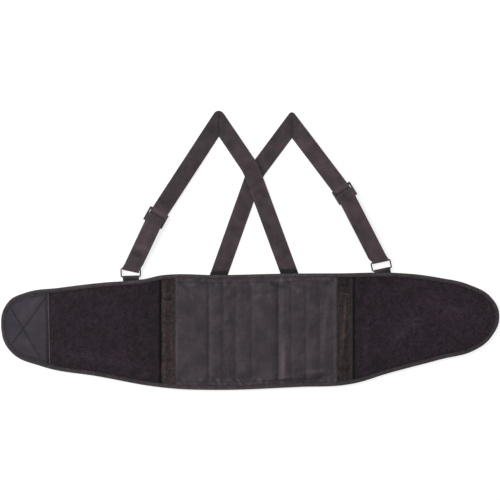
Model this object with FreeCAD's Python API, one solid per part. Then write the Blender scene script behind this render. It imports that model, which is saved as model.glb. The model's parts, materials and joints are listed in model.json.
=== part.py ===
"""Lumbar support belt with crossed shoulder straps, lying flat with its inner face up.

Millimetres. +X runs along the belt, +Y from the belt towards the shoulder straps, +Z up,
and Z = 0 is the surface that the belt lies on. The origin is the middle of the whole
object seen from above. "left" is -X and "right" is +X.
"""

import FreeCAD, Part
import math
import os

V = FreeCAD.Vector

# ---- belt outline -------------------------------------------------------------------
LEFT_TIP = (-497.1, -153.0)
RIGHT_TIP = (498.0, -131.0)
# top edge, left to right, and bottom edge, right to left, between the two tips
TOP_EDGE = [
    (-484.0, -105.0), (-450.0, -85.6), (-380.0, -75.2), (-300.0, -65.6), (-216.0, -58.6),
    (-172.0, -49.8), (-60.0, -49.9), (60.0, -47.3), (180.0, -46.4), (300.0, -46.0),
    (380.0, -55.6), (440.0, -70.0), (482.0, -95.0),
]
BOTTOM_EDGE = [
    (484.0, -171.0), (450.0, -199.5), (380.0, -218.8), (280.0, -245.2), (200.0, -268.0),
    (100.0, -273.6), (-90.0, -279.4), (-180.0, -274.0), (-300.0, -253.0), (-420.0, -231.2),
    (-478.0, -203.0),
]

# ---- zones along X ------------------------------------------------------------------
LEFT_GUSSET = (-178.0, -148.0)
RIGHT_GUSSET = (174.0, 206.0)
LEFT_WING_HINGE_X = -284.0
RIGHT_WING_HINGE_X = 306.0
HOOK_PATCH_END_X = -404.0
HINGE_GAP = 0.3          # between the solids on the two sides of a wing's fold
SEAM_GAP = 0.1           # between zones sewn edge to edge
FAR = 700.0              # past the end of everything

# ---- layers, from the outer face (down) to the inner face (up) ------------------------
OUTER_TOP = 1.0
CORE_TOP = 3.4
LINING_TOP = 4.0
PANEL_TOP = 6.2
WING_TOP = 4.6
GUSSET_Z = (0.9, 3.3)
COVER_INSET = 8.3        # the covers stop here, inside the edge tape
CORE_INSET = 1.3         # the core runs on, into the fold of the edge tape
TAPE_WIDTH = 8.0
TAPE_WALL = 1.0
TAPE_CAVITY = (0.9, 3.6)
HOOK_PATCH_TOP = 5.6
HOOK_EDGE_WIDTH = 3.0
HOOK_EDGE_TOP = 6.2

# ---- stays ------------------------------------------------------------------------------
PANEL_MIDDLE_X = 27.6
STAY_OFFSETS = (-97.0, -41.2, 41.2, 97.0)
STAY_WIDTH = 18.0
STAY_LENGTH = 190.0
STAY_THICK = 1.2
STAY_MIDDLE_Y = -161.0
STAY_END_RADIUS = 8.0
STAY_POCKET_ROOM = 0.15

# ---- shoulder straps ----------------------------------------------------------------------
STRAP_WIDTH = 34.0
STRAP_THICK = 1.2
# root at the belt, bend where the straps cross, shoulder point, slider bend, ring end
LEFT_STRAP = [(79.0, -47.4), (1.8, 162.2), (-62.4, 257.2), (-187.8, 64.8), (-236.0, -37.5)]
RIGHT_STRAP = [(-61.8, -48.4), (9.6, 152.4), (83.8, 251.8), (188.8, 113.2), (258.4, -22.0)]
SHOULDER_TOP_Y = {"left": 279.4, "right": 275.6}
TABLE_Z = 0.2            # underside of a strap that lies on the table
OVER_Z = 1.6             # underside of the left strap where it crosses the right one
RAISED_Z = 1.7           # underside of a strap where it runs through its slider
RETURN_Z = 5.8           # underside of the doubled-back run, at the slider
RISE_START = 0.35         # share of the lower back run that lies on the table
RISE_END = 60.0           # the strap is at its crossing height this far before the crossing
CROSSING_HALF = 35.0      # and stays there this far past it
FRONT_RISE = (22.0, 52.0) # from the shoulder, where the front run rises to the slider's height
SLIDER_CLEAR = 20.0       # level run below the slider's middle
RING_CLEAR = 8.0          # level run above the ring's lower bar
RUN_OVERLAP = 30.0        # past a run's nominal end, before it is trimmed
SPARE = 60.0              # past the last bend of a run, before it is trimmed
ANCHOR_LENGTH = 32.0
ANCHOR_Z = (0.1, 1.3)
POCKET_ROOM = 0.3
ANCHOR_POCKET_TOP = 1.5

# ---- fold axis of the straps, also the axis of both rings ----------------------------------
FOLD_SLOPE = 0.0286
FOLD_Y_AT_0 = -46.6
FOLD_Z = 2.9
FOLD_GAP = 0.3

# ---- rings and their tabs --------------------------------------------------------------------
RING_WIRE_R = 1.3
RING_HEIGHT = 17.0       # between the centre lines of its two long bars
RING_WIDTH = 38.4        # between the centre lines of its two short bars
RING_CORNER_R = 3.0
RINGS = {"left": (-238.0, math.degrees(math.atan(FOLD_SLOPE))), "right": (264.0, 12.0)}
TAB_WIDTH = 31.0
TAB_BORE_R = 1.45
TAB_OUTER_R = 2.55
TAB_TAIL = 26.0
TAB_TAIL_Z = (0.2, 2.0)
TAB_POCKET_TOP = 2.2
LOOP_WIDTH = 33.0
LOOP_INNER_R = 1.4
LOOP_OUTER_R = 2.6
LOOP_LEG = 1.6

# ---- sliders -----------------------------------------------------------------------------------
SLIDER_LENGTH = 30.0
SLIDER_WIDTH = 42.0
SLIDER_RAIL = 1.9
SLIDER_BAR = 5.0
SLIDER_Z = (0.2, 5.7)
TOP_BAR_TOP = 1.5
UPPER_BARS_BOTTOM = 4.3
CENTRE_BAR_HALF = 2.2
SLIDER_TURN = {"left": 60.8, "right": 122.1}   # degrees from +X to the strap's run
SLIDER_FOLD_ROOM = 0.1


def extrude_polygon(points, direction):
    """A prism: a closed polygon of vectors swept along a vector."""
    wire = Part.makePolygon(points + [points[0]])
    return Part.Face(wire).extrude(direction)


def plan_prism(points, z0, z1):
    """A prism standing on a polygon given as (x, y) points."""
    return extrude_polygon([V(x, y, z0) for x, y in points], V(0, 0, z1 - z0))


def zone(x0, x1, z0, z1):
    """Everything between two X values and two Z values."""
    return Part.makeBox(x1 - x0, 2 * FAR, z1 - z0, V(x0, -FAR, z0))


def move(shape, origin, degrees):
    """Turns a shape about Z and puts its local origin at a point."""
    placed = shape.copy()
    placed.rotate(V(0, 0, 0), V(0, 0, 1), degrees)
    placed.translate(V(*origin))
    return placed


# ---- the belt's outline ----------------------------------------------------------------------

def closed_curve(points):
    """One smooth closed curve through the points."""
    curve = Part.BSplineCurve()
    curve.interpolate(Points=points, PeriodicFlag=True)
    return curve


def outline(inset):
    """The belt's outline moved inwards: each of its points moves square to the edge."""
    points = [V(x, y, 0) for x, y in [LEFT_TIP] + TOP_EDGE + [RIGHT_TIP] + BOTTOM_EDGE]
    edge = closed_curve(points)
    moved = []
    for point in points:
        run = edge.tangent(edge.parameter(point))[0]
        moved.append(point + V(run.y, -run.x, 0) * inset)
    return closed_curve(moved)


def slab(inset, z0, z1, x0=-FAR, x1=FAR):
    """A layer of the belt: its outline moved inwards, between two heights and two X values."""
    face = Part.Face(Part.Wire([outline(inset).toShape()]))
    face.translate(V(0, 0, z0))
    return face.extrude(V(0, 0, z1 - z0)).common(zone(x0, x1, z0 - 1, z1 + 1))


def edge_tape(x0, x1, above):
    """Binding tape folded over one edge: an upper ply, a lower ply and the wall between them."""
    tape = slab(0, 0, WING_TOP, x0, x1).cut(slab(TAPE_WIDTH, -1, WING_TOP + 1, x0 - 1, x1 + 1))
    tape = tape.cut(slab(TAPE_WALL, *TAPE_CAVITY, x0 - 1, x1 + 1))
    (left_x, left_y), (right_x, right_y) = LEFT_TIP, RIGHT_TIP
    slope = (right_y - left_y) / (right_x - left_x)
    far_left, far_right = left_y - slope * (FAR + left_x), right_y + slope * (FAR - right_x)
    side = FAR if above else -FAR
    half = [(-FAR, far_left), (FAR, far_right), (FAR, side), (-FAR, side)]
    return tape.common(plan_prism(half, -1, WING_TOP + 1))


# ---- the straps' route --------------------------------------------------------------------------

def meet(p, run_p, q, run_q):
    """Where the line through p along run_p meets the line through q along run_q."""
    (px, py), (ux, uy), (qx, qy), (vx, vy) = p, run_p, q, run_q
    t = ((qx - px) * vy - (qy - py) * vx) / (ux * vy - uy * vx)
    return (px + t * ux, py + t * uy)


def unit(p, q):
    """The direction from p to q."""
    length = math.hypot(q[0] - p[0], q[1] - p[1])
    return ((q[0] - p[0]) / length, (q[1] - p[1]) / length)


def strap_quads(route, width):
    """Four corners of each straight run of a strap, with mitred joins."""
    runs = [unit(p, q) for p, q in zip(route, route[1:])]
    sides = []
    for hand in (1, -1):
        offset = [
            (p[0] - hand * r[1] * width / 2, p[1] + hand * r[0] * width / 2)
            for p, r in zip(route, runs)
        ]
        corners = [offset[0]]
        for i in range(1, len(runs)):
            corners.append(meet(offset[i - 1], runs[i - 1], offset[i], runs[i]))
        end, run = route[-1], runs[-1]
        corners.append((end[0] - hand * run[1] * width / 2, end[1] + hand * run[0] * width / 2))
        sides.append(corners)
    left, right = sides
    return [[left[i], left[i + 1], right[i + 1], right[i]] for i in range(len(runs))]


def lengthen(quad, before, after):
    """A run's four corners, moved out along the run at its start and end."""
    a, b, c, d = quad
    run = unit(a, b)
    back = (-run[0] * before, -run[1] * before)
    on = (run[0] * after, run[1] * after)
    return [
        (a[0] + back[0], a[1] + back[1]), (b[0] + on[0], b[1] + on[1]),
        (c[0] + on[0], c[1] + on[1]), (d[0] + back[0], d[1] + back[1]),
    ]


def ribbon(start, end, quad, heights):
    """A run of webbing over a quad. heights: (distance from start along the run, underside)."""
    run = unit(start, end)
    across = V(-run[1], run[0], 0)

    def at(distance, z):
        return V(start[0] + run[0] * distance, start[1] + run[1] * distance, z)

    under = [at(s, z) for s, z in heights]
    over = [at(s, z + STRAP_THICK) for s, z in reversed(heights)]
    points = [p - across * FAR / 10 for p in under + over]
    body = extrude_polygon(points, across * FAR / 5)
    return body.common(plan_prism(quad, -5, 20))


def fold_y(x):
    """Y of the straps' fold axis at an X."""
    return FOLD_Y_AT_0 + FOLD_SLOPE * x


def beyond_fold(gap):
    """Everything on the straps' side of the fold axis, by at least a gap."""
    points = [(-FAR, fold_y(-FAR) + gap), (FAR, fold_y(FAR) + gap), (FAR, FAR), (-FAR, FAR)]
    return plan_prism(points, -5, 30)


# ---- rings: local x along the lower bar, local y towards the strap, origin on the axis ------

def ring_place(side):
    """Where a ring's lower bar has its middle, and how far the ring is turned."""
    x, degrees = RINGS[side]
    return (x, fold_y(x), FOLD_Z), degrees


def ring(side):
    """A rectangle of round wire with rounded corners, lying flat."""
    w, h, r = RING_WIDTH / 2, RING_HEIGHT, RING_CORNER_R
    slant = r * (1 - math.sqrt(0.5))
    line = Part.makeLine
    corner = lambda a, b, c: Part.Arc(V(*a, 0), V(*b, 0), V(*c, 0)).toShape()
    path = Part.Wire([
        line(V(0, 0, 0), V(w - r, 0, 0)),
        corner((w - r, 0), (w - slant, slant), (w, r)),
        line(V(w, r, 0), V(w, h - r, 0)),
        corner((w, h - r), (w - slant, h - slant), (w - r, h)),
        line(V(w - r, h, 0), V(r - w, h, 0)),
        corner((r - w, h), (slant - w, h - slant), (-w, h - r)),
        line(V(-w, h - r, 0), V(-w, r, 0)),
        corner((-w, r), (slant - w, slant), (r - w, 0)),
        line(V(r - w, 0, 0), V(0, 0, 0)),
    ])
    section = Part.Wire(Part.makeCircle(RING_WIRE_R, V(0, 0, 0), V(1, 0, 0)))
    return move(path.makePipeShell([section], True, True), *ring_place(side))


def bar(radius, width, y=0.0):
    """A round bar along local x."""
    return Part.makeCylinder(radius, width, V(-width / 2, y, 0), V(1, 0, 0))


def ring_tab(side):
    """Webbing looped round the ring's lower bar, its doubled tail sewn under the belt."""
    low, high = TAB_TAIL_Z
    tail = Part.makeBox(TAB_WIDTH, TAB_TAIL, high - low, V(-TAB_WIDTH / 2, -TAB_TAIL, low - FOLD_Z))
    tab = bar(TAB_OUTER_R, TAB_WIDTH).fuse(tail).cut(bar(TAB_BORE_R, TAB_WIDTH + 2))
    return move(tab.removeSplitter(), *ring_place(side))


def tab_pocket(side):
    """The room that a tab's tail takes up in the belt."""
    width = TAB_WIDTH + 2 * POCKET_ROOM
    room = Part.makeBox(width, TAB_TAIL + POCKET_ROOM + 10, TAB_POCKET_TOP + 5,
                        V(-width / 2, -TAB_TAIL - POCKET_ROOM, -5 - FOLD_Z))
    return move(room, *ring_place(side))


def ring_loop(side):
    """The fold of the strap round the ring's upper bar."""
    thick = LOOP_OUTER_R - LOOP_INNER_R
    loop = bar(LOOP_OUTER_R, LOOP_WIDTH, RING_HEIGHT).cut(bar(LOOP_INNER_R, LOOP_WIDTH + 2, RING_HEIGHT))
    above = Part.makeBox(LOOP_WIDTH + 4, 20, 20, V(-LOOP_WIDTH / 2 - 2, RING_HEIGHT, -10))
    loop = loop.cut(above)
    for z in (-LOOP_OUTER_R, LOOP_INNER_R):
        leg = Part.makeBox(LOOP_WIDTH, LOOP_LEG, thick, V(-LOOP_WIDTH / 2, RING_HEIGHT, z))
        loop = loop.fuse(leg)
    return move(loop.removeSplitter(), *ring_place(side))


def clear_of_ring_loop(side):
    """Everything on the shoulder side of a ring's loop."""
    room = Part.makeBox(2 * FAR, FAR, 60, V(-FAR, RING_HEIGHT + LOOP_LEG, -30))
    return move(room, *ring_place(side))


# ---- sliders: local y along the strap, towards the shoulder ------------------------------------

def slider_place(side):
    """A slider sits at its strap's bend, turned along the strap."""
    x, y = {"left": LEFT_STRAP, "right": RIGHT_STRAP}[side][3]
    return (x, y, 0), SLIDER_TURN[side] - 90


def crossbar(y0, y1, z0, z1):
    """One of the bars that join a slider's two rails."""
    width = SLIDER_WIDTH - 2 * SLIDER_RAIL
    return Part.makeBox(width, y1 - y0, z1 - z0, V(-width / 2, y0, z0))


def slider(side):
    """Moulded three-bar slider: the strap runs over the top bar and under the other two."""
    half, low, high = SLIDER_LENGTH / 2, SLIDER_Z[0], SLIDER_Z[1]
    body = crossbar(half - SLIDER_BAR, half, low, TOP_BAR_TOP)
    for x in (-SLIDER_WIDTH / 2, SLIDER_WIDTH / 2 - SLIDER_RAIL):
        rail = Part.makeBox(SLIDER_RAIL, SLIDER_LENGTH, high - low, V(x, -half, low))
        body = body.fuse(rail)
    body = body.fuse(crossbar(-CENTRE_BAR_HALF, CENTRE_BAR_HALF, UPPER_BARS_BOTTOM, high))
    body = body.fuse(crossbar(-half, SLIDER_BAR - half, UPPER_BARS_BOTTOM, high))
    return move(body.removeSplitter(), *slider_place(side))


def slider_loop(side):
    """The strap's sewn end, folded round the slider's centre bar and back under it."""
    half = SLIDER_LENGTH / 2
    inner = CENTRE_BAR_HALF + SLIDER_FOLD_ROOM
    outer = inner + STRAP_THICK
    lower = UPPER_BARS_BOTTOM - SLIDER_FOLD_ROOM - STRAP_THICK
    profile = [
        (-half, lower), (outer, lower), (outer, RETURN_Z + STRAP_THICK), (-half, RETURN_Z + STRAP_THICK),
        (-half, RETURN_Z), (inner, RETURN_Z), (inner, lower + STRAP_THICK), (-half, lower + STRAP_THICK),
    ]
    points = [V(-STRAP_WIDTH / 2, y, z) for y, z in profile]
    return move(extrude_polygon(points, V(STRAP_WIDTH, 0, 0)), *slider_place(side))


def below_slider(side):
    """Everything on the ring's side of a slider."""
    room = Part.makeBox(2 * FAR, FAR, 60, V(-FAR, -SLIDER_LENGTH / 2 - SEAM_GAP - FAR, -30))
    return move(room, *slider_place(side))


# ---- one shoulder strap -------------------------------------------------------------------------

def strap(side, route, crossing_z):
    """All the runs of one strap, from its anchor under the belt to its slider and ring."""
    root, cross, shoulder, bend, end = route
    lower_back, upper_back, front, lower = strap_quads(route, STRAP_WIDTH)
    under_shoulder_top = plan_prism(
        [(-FAR, -FAR), (FAR, -FAR), (FAR, SHOULDER_TOP_Y[side]), (-FAR, SHOULDER_TOP_Y[side])], -5, 30)
    length = [math.dist(p, q) for p, q in zip(route, route[1:])]

    anchor = plan_prism(lengthen(lower_back, ANCHOR_LENGTH, 0), *ANCHOR_Z).cut(beyond_fold(0))

    lower_part = ribbon(root, cross, lengthen(lower_back, RUN_OVERLAP, 0),
                        [(-SPARE, TABLE_Z), (length[0] * RISE_START, TABLE_Z),
                         (length[0] - RISE_END, crossing_z), (length[0] + SPARE, crossing_z)])
    upper_part = ribbon(cross, shoulder, upper_back,
                        [(-SPARE, crossing_z), (CROSSING_HALF, crossing_z),
                         (length[1] - CROSSING_HALF, TABLE_Z), (length[1] + SPARE, TABLE_Z)])
    back = lower_part.common(beyond_fold(FOLD_GAP)).fuse(upper_part).removeSplitter()
    back = back.common(under_shoulder_top)

    top_of_front = ribbon(shoulder, bend, front,
                          [(-SPARE, TABLE_Z), (FRONT_RISE[0], TABLE_Z), (FRONT_RISE[1], RAISED_Z),
                           (length[2] + SPARE, RAISED_Z)])
    top_of_front = top_of_front.common(under_shoulder_top)

    def towards_ring(at_slider, at_ring):
        """A run from the slider down to the ring, over the whole width of the strap."""
        return ribbon(bend, end, lengthen(lower, 0, RUN_OVERLAP),
                      [(-SPARE, at_slider), (SLIDER_CLEAR, at_slider),
                       (length[3] - RING_CLEAR, at_ring), (length[3] + SPARE, at_ring)])

    bottom_of_front = towards_ring(RAISED_Z, FOLD_Z - LOOP_OUTER_R)
    doubled = towards_ring(RETURN_Z, FOLD_Z + LOOP_INNER_R)
    keep = clear_of_ring_loop(side)
    return {
        f"{side}_strap_anchor": anchor,
        f"{side}_strap_back": back,
        f"{side}_strap_front": top_of_front,
        f"{side}_strap_lower": bottom_of_front.common(keep),
        f"{side}_strap_return": doubled.common(keep).common(below_slider(side)),
        f"{side}_strap_ring_loop": ring_loop(side),
        f"{side}_slider": slider(side),
        f"{side}_slider_loop": slider_loop(side),
        f"{side}_ring": ring(side),
        f"{side}_ring_tab": ring_tab(side),
    }


def anchor_pocket(route):
    """The room that a strap's sewn end takes up in the belt."""
    quad = strap_quads(route, STRAP_WIDTH + 2 * POCKET_ROOM)[0]
    return plan_prism(lengthen(quad, ANCHOR_LENGTH + POCKET_ROOM, 0), -5, ANCHOR_POCKET_TOP)


# ---- stays and belt zones -------------------------------------------------------------------------

def stay(offset, room=0.0):
    """A flat stay with rounded ends, or the pocket for it."""
    width, length = STAY_WIDTH + 2 * room, STAY_LENGTH + 2 * room
    corner = V(PANEL_MIDDLE_X + offset - width / 2, STAY_MIDDLE_Y - length / 2, LINING_TOP)
    body = Part.makeBox(width, length, STAY_THICK + room, corner)
    upright = [e for e in body.Edges if abs(e.tangentAt(e.FirstParameter).z) > 0.9]
    return body.makeFillet(STAY_END_RADIUS, upright)


def zone_layers(name, x0, x1, pockets):
    """Outer loop fabric, foam core and inner pile fabric of a side or wing zone."""
    layers = {
        f"{name}_outer_fabric": slab(COVER_INSET, 0, OUTER_TOP, x0, x1),
        f"{name}_foam": slab(CORE_INSET, OUTER_TOP, CORE_TOP, x0, x1),
        f"{name}_pile_fabric": slab(COVER_INSET, CORE_TOP, WING_TOP, x0, x1),
    }
    return {node: cut_all(layer, pockets) for node, layer in layers.items()}


def cut_all(shape, tools):
    """A shape less each of the tools that reach it."""
    for tool in tools:
        if shape.BoundBox.intersect(tool.BoundBox):
            shape = shape.cut(tool)
    return shape


def centre_panel(pockets):
    """The back panel: covers, foam, channel lining, and four stays in pockets."""
    x0, x1 = LEFT_GUSSET[1] + SEAM_GAP, RIGHT_GUSSET[0] - SEAM_GAP
    rooms = [stay(offset, STAY_POCKET_ROOM) for offset in STAY_OFFSETS]
    nodes = {
        "panel_outer_cover": slab(COVER_INSET, 0, OUTER_TOP, x0, x1),
        "panel_foam": slab(CORE_INSET, OUTER_TOP, CORE_TOP, x0, x1),
        "stay_channel_lining": slab(COVER_INSET, CORE_TOP, LINING_TOP, x0, x1),
        "panel_inner_cover": cut_all(slab(COVER_INSET, LINING_TOP, PANEL_TOP, x0, x1), rooms),
    }
    nodes = {node: cut_all(shape, pockets) for node, shape in nodes.items()}
    for number, offset in enumerate(STAY_OFFSETS, 1):
        nodes[f"stay_{number}"] = stay(offset)
    return nodes


def belt(pockets):
    """Every piece of the belt between and including its two wings."""
    left, right = LEFT_WING_HINGE_X, RIGHT_WING_HINGE_X
    half_gap = HINGE_GAP / 2
    nodes = centre_panel(pockets)
    for side, (x0, x1) in {"left": LEFT_GUSSET, "right": RIGHT_GUSSET}.items():
        nodes[f"{side}_gusset"] = slab(CORE_INSET, *GUSSET_Z, x0, x1)
    nodes.update(zone_layers("left_side", left + half_gap, LEFT_GUSSET[0] - SEAM_GAP, pockets))
    nodes.update(zone_layers("right_side", RIGHT_GUSSET[1] + SEAM_GAP, right - half_gap, pockets))
    for edge, above in {"top": True, "bottom": False}.items():
        middle = edge_tape(left + half_gap, right - half_gap, above)
        nodes[f"{edge}_edge_tape"] = cut_all(middle, pockets)
        nodes[f"left_wing_{edge}_tape"] = edge_tape(-FAR, left - half_gap, above)
        nodes[f"right_wing_{edge}_tape"] = edge_tape(right + half_gap, FAR, above)
    nodes.update(zone_layers("left_wing", -FAR, left - half_gap, []))
    nodes.update(zone_layers("right_wing", right + half_gap, FAR, []))
    nodes["hook_patch"] = slab(COVER_INSET + 0.4, WING_TOP, HOOK_PATCH_TOP, -FAR, HOOK_PATCH_END_X)
    nodes["hook_patch_edge"] = slab(COVER_INSET + 0.4, WING_TOP, HOOK_EDGE_TOP, HOOK_PATCH_END_X + SEAM_GAP,
                                    HOOK_PATCH_END_X + SEAM_GAP + HOOK_EDGE_WIDTH)
    return nodes


def main():
    """Builds every node and writes one STEP file for each."""
    pockets = [anchor_pocket(LEFT_STRAP), anchor_pocket(RIGHT_STRAP)]
    pockets += [tab_pocket("left"), tab_pocket("right")]
    nodes = belt(pockets)
    nodes.update(strap("left", LEFT_STRAP, OVER_Z))
    nodes.update(strap("right", RIGHT_STRAP, TABLE_Z))

    os.makedirs("parts", exist_ok=True)
    whole = FreeCAD.BoundBox()
    for node, shape in nodes.items():
        solids = shape.Solids
        good = shape.isValid() and len(solids) == 1
        print(f"{node:26s} {'ok ' if good else 'BAD'} solids {len(solids)} volume {shape.Volume:10.1f}")
        body = solids[0] if len(solids) == 1 else shape
        whole.add(body.BoundBox)
        body.exportStep(f"parts/{node}.step")
    print("nodes", len(nodes), "box", whole)


main()
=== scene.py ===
"""A lumbar support belt laid out flat, inner face up: fabrics, bindings, webbing and buckles."""
import json
import math

import bpy
import bmesh
import numpy as np
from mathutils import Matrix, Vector, noise
from mathutils.bvhtree import BVHTree

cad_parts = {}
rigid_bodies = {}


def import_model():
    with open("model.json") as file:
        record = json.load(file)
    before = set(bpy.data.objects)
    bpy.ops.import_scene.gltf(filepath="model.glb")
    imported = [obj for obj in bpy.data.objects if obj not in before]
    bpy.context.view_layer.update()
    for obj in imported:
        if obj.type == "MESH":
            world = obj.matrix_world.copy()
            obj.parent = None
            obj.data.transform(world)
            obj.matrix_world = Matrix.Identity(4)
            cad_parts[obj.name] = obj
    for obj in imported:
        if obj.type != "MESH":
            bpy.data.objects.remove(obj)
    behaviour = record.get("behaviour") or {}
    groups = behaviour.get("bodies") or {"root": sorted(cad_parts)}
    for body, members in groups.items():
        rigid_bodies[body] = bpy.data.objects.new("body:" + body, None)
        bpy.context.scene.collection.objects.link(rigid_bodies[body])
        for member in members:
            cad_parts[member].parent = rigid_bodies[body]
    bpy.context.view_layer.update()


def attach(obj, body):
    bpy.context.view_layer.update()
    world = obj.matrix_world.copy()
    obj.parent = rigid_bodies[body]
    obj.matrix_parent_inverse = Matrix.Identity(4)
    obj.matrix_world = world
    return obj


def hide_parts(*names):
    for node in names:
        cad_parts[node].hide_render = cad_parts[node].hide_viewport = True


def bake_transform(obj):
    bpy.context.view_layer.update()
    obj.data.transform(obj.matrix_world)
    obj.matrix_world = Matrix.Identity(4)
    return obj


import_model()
bpy.ops.object.select_all(action="DESELECT")

MM = 0.001

# The belt's outline, clockwise from the tip of the wing that carries the hook patch.
BELT_OUTLINE = MM * np.array([
    (-497.1, -153), (-484, -105), (-450, -85.6), (-380, -75.2), (-300, -65.6), (-216, -58.6),
    (-172, -49.8), (-60, -49.9), (60, -47.3), (180, -46.4), (300, -46), (380, -55.6), (440, -70),
    (482, -95), (498, -131), (484, -171), (450, -199.5), (380, -218.8), (280, -245.2),
    (200, -268), (100, -273.6), (-90, -279.4), (-180, -274), (-300, -253), (-420, -231.2),
    (-478, -203)])

COVER_INSET, CORE_INSET = 8.3 * MM, 1.6 * MM        # of the faces and the foam, from the belt's edge
LEFT_GUSSET, RIGHT_GUSSET = (-178 * MM, -148 * MM), (174 * MM, 206 * MM)
HOOK_PATCH_END = -404 * MM
PAST_THE_TIPS = 1.0         # an X that no part of the belt reaches
TIP = 489 * MM              # nearly at the tips, where the cloths end

STAY_X = MM * np.array([-69.4, -13.6, 68.8, 124.6])
STAY_MIDDLE_Y, STAY_LENGTH = -161 * MM, 190 * MM
CHANNEL_SEAMS = MM * np.array([-84, -54.5, -30.5, 2.5, 54.5, 82, 110.5, 138])

STRAP_WIDTH, STRAP_THICK = 34 * MM, 1.2 * MM
STRAP_ROUTE = {
    "left": MM * np.array([(79, -47.4), (1.8, 162.2), (-62.4, 257.2), (-187.8, 64.8), (-236, -37.5)]),
    "right": MM * np.array([(-61.8, -48.4), (9.6, 152.4), (83.8, 251.8), (188.8, 113.2), (258.4, -22)]),
}
SHOULDER_TOP = {"left": 279.4 * MM, "right": 275.6 * MM}
TABLE_Z, OVER_Z, RAISED_Z, RETURN_Z = 0.2 * MM, 1.6 * MM, 1.7 * MM, 5.8 * MM
FOLD_Z, FOLD_SLOPE, FOLD_Y = 2.9 * MM, 0.0286, -46.6 * MM
RING_HEIGHT = 17 * MM
RING_PLACE = {"left": (-238 * MM, math.atan(FOLD_SLOPE)), "right": (264 * MM, math.radians(12))}
SLIDER_TURN = {"left": math.radians(60.8), "right": math.radians(122.1)}


def fold_y(x):
    """Y of the line that the shoulder straps turn up about."""
    return FOLD_Y + FOLD_SLOPE * x


# ---- meshes --------------------------------------------------------------------------------------

def coords(piece):
    """The points of a piece, as an array."""
    points = np.zeros(len(piece.data.vertices) * 3)
    piece.data.vertices.foreach_get("co", points)
    return points.reshape(-1, 3)


def set_coords(piece, points):
    """Puts the points of a piece in their new places."""
    piece.data.vertices.foreach_set("co", np.asarray(points, float).ravel())
    piece.data.update()


def make_active(piece):
    """Makes a piece the only one selected, and the active one."""
    bpy.ops.object.select_all(action="DESELECT")
    piece.select_set(True)
    bpy.context.view_layer.objects.active = piece


def add_modifier(piece, kind, **settings):
    """Adds a modifier, gives it its settings and applies it."""
    make_active(piece)
    modifier = piece.modifiers.new(kind.title(), kind)
    for name, value in settings.items():
        setattr(modifier, name, value)
    bpy.ops.object.modifier_apply(modifier=modifier.name)


def smooth_shading(piece, degrees=40):
    """Smooth shading that keeps edges sharper than an angle."""
    make_active(piece)
    bpy.ops.object.shade_smooth_by_angle(angle=math.radians(degrees))


def from_arrays(name, points, faces, uvs=None):
    """A piece from its points and faces, with an optional UV for each face corner."""
    mesh = bpy.data.meshes.new(name)
    mesh.from_pydata([tuple(p) for p in points], [], [tuple(int(i) for i in f) for f in faces])
    if uvs is not None:
        layer = mesh.uv_layers.new(name="cloth")
        layer.data.foreach_set("uv", np.asarray(uvs, float).ravel())
    piece = bpy.data.objects.new(name, mesh)
    bpy.context.collection.objects.link(piece)
    return piece


def soft_noise(x, y, size, seed=0.0):
    """Smooth noise from -1 to 1 with features of about a size."""
    return np.array([noise.noise(Vector((a / size, b / size, seed))) for a, b in zip(x, y)])


def paint_fold_shading(piece, values):
    """Stores painted shade for each point of a piece, above 0, in its folds and seams and under what lies
    over it, and painted highlight, below 0, where it stands up; random tone rides along.
    """
    layer = piece.data.attributes.new("fold", "FLOAT", "POINT")
    layer.data.foreach_set("value", np.asarray(values, np.float32))


def ramp(value, start, end):
    """0 before start, 1 after end, smooth between."""
    t = np.clip((np.asarray(value, float) - start) / (end - start), 0, 1)
    return t * t * (3 - 2 * t)


def run_length(points):
    """Distance along a line of points, from 0 at the first."""
    return np.concatenate([[0], np.cumsum(np.linalg.norm(np.diff(points, axis=0), axis=1))])


def direction(a, b):
    """The unit vector from one plan point to another."""
    return (b - a) / np.linalg.norm(b - a)


def ahead_and_aside(x, y, start, run):
    """How far points lie along a line from its start, and to its left."""
    dx, dy = x - start[0], y - start[1]
    return dx * run[0] + dy * run[1], -dx * run[1] + dy * run[0]


def meeting(start, run, point, along):
    """Where the line from a start meets the line through another point, in plan."""
    return start + run * np.linalg.solve(np.stack([run, -along], axis=1), point - start)[0]


def turned(origin, turn, x, y):
    """A point given in a frame that is moved and turned, in plan."""
    c, s = math.cos(turn), math.sin(turn)
    return np.array([origin[0] + c * x - s * y, origin[1] + s * x + c * y])


def finish_sheet(cloth, thickness, foot, slot, degrees=60):
    """Thickens a face downwards, no lower than its foot, and dresses it."""
    thicken(cloth, thickness)
    points = coords(cloth)
    points[:, 2] = np.maximum(points[:, 2], foot)
    set_coords(cloth, points)
    smooth_shading(cloth, degrees)
    dress(cloth, slot)


# ---- the belt's outline --------------------------------------------------------------------------

def belt_line():
    """The belt's edge: a closed smooth curve through the outline's points."""
    curve = bpy.data.curves.new("belt_edge", "CURVE")
    curve.resolution_u = 24
    spline = curve.splines.new("BEZIER")
    spline.bezier_points.add(len(BELT_OUTLINE) - 1)
    spline.use_cyclic_u = True
    for knot, (x, y) in zip(spline.bezier_points, BELT_OUTLINE):
        knot.co = (x, y, 0)
        knot.handle_left_type = knot.handle_right_type = "AUTO"
    guide = bpy.data.objects.new("belt_edge", curve)
    bpy.context.collection.objects.link(guide)
    bpy.context.view_layer.update()
    mesh = bpy.data.meshes.new_from_object(guide.evaluated_get(bpy.context.evaluated_depsgraph_get()))
    points = np.array([v.co[:2] for v in mesh.vertices])
    bpy.data.objects.remove(guide)
    points = np.vstack([points, points[:1]])
    along = run_length(points)
    at = np.linspace(0, along[-1], 1500, endpoint=False)
    return np.stack([np.interp(at, along, points[:, k]) for k in (0, 1)], axis=1)


EDGE = belt_line()


def inward(line):
    """The unit vector into the belt at each point of its edge."""
    run = np.roll(line, -1, axis=0) - np.roll(line, 1, axis=0)
    run /= np.linalg.norm(run, axis=1, keepdims=True)
    return np.stack([run[:, 1], -run[:, 0]], axis=1)


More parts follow.
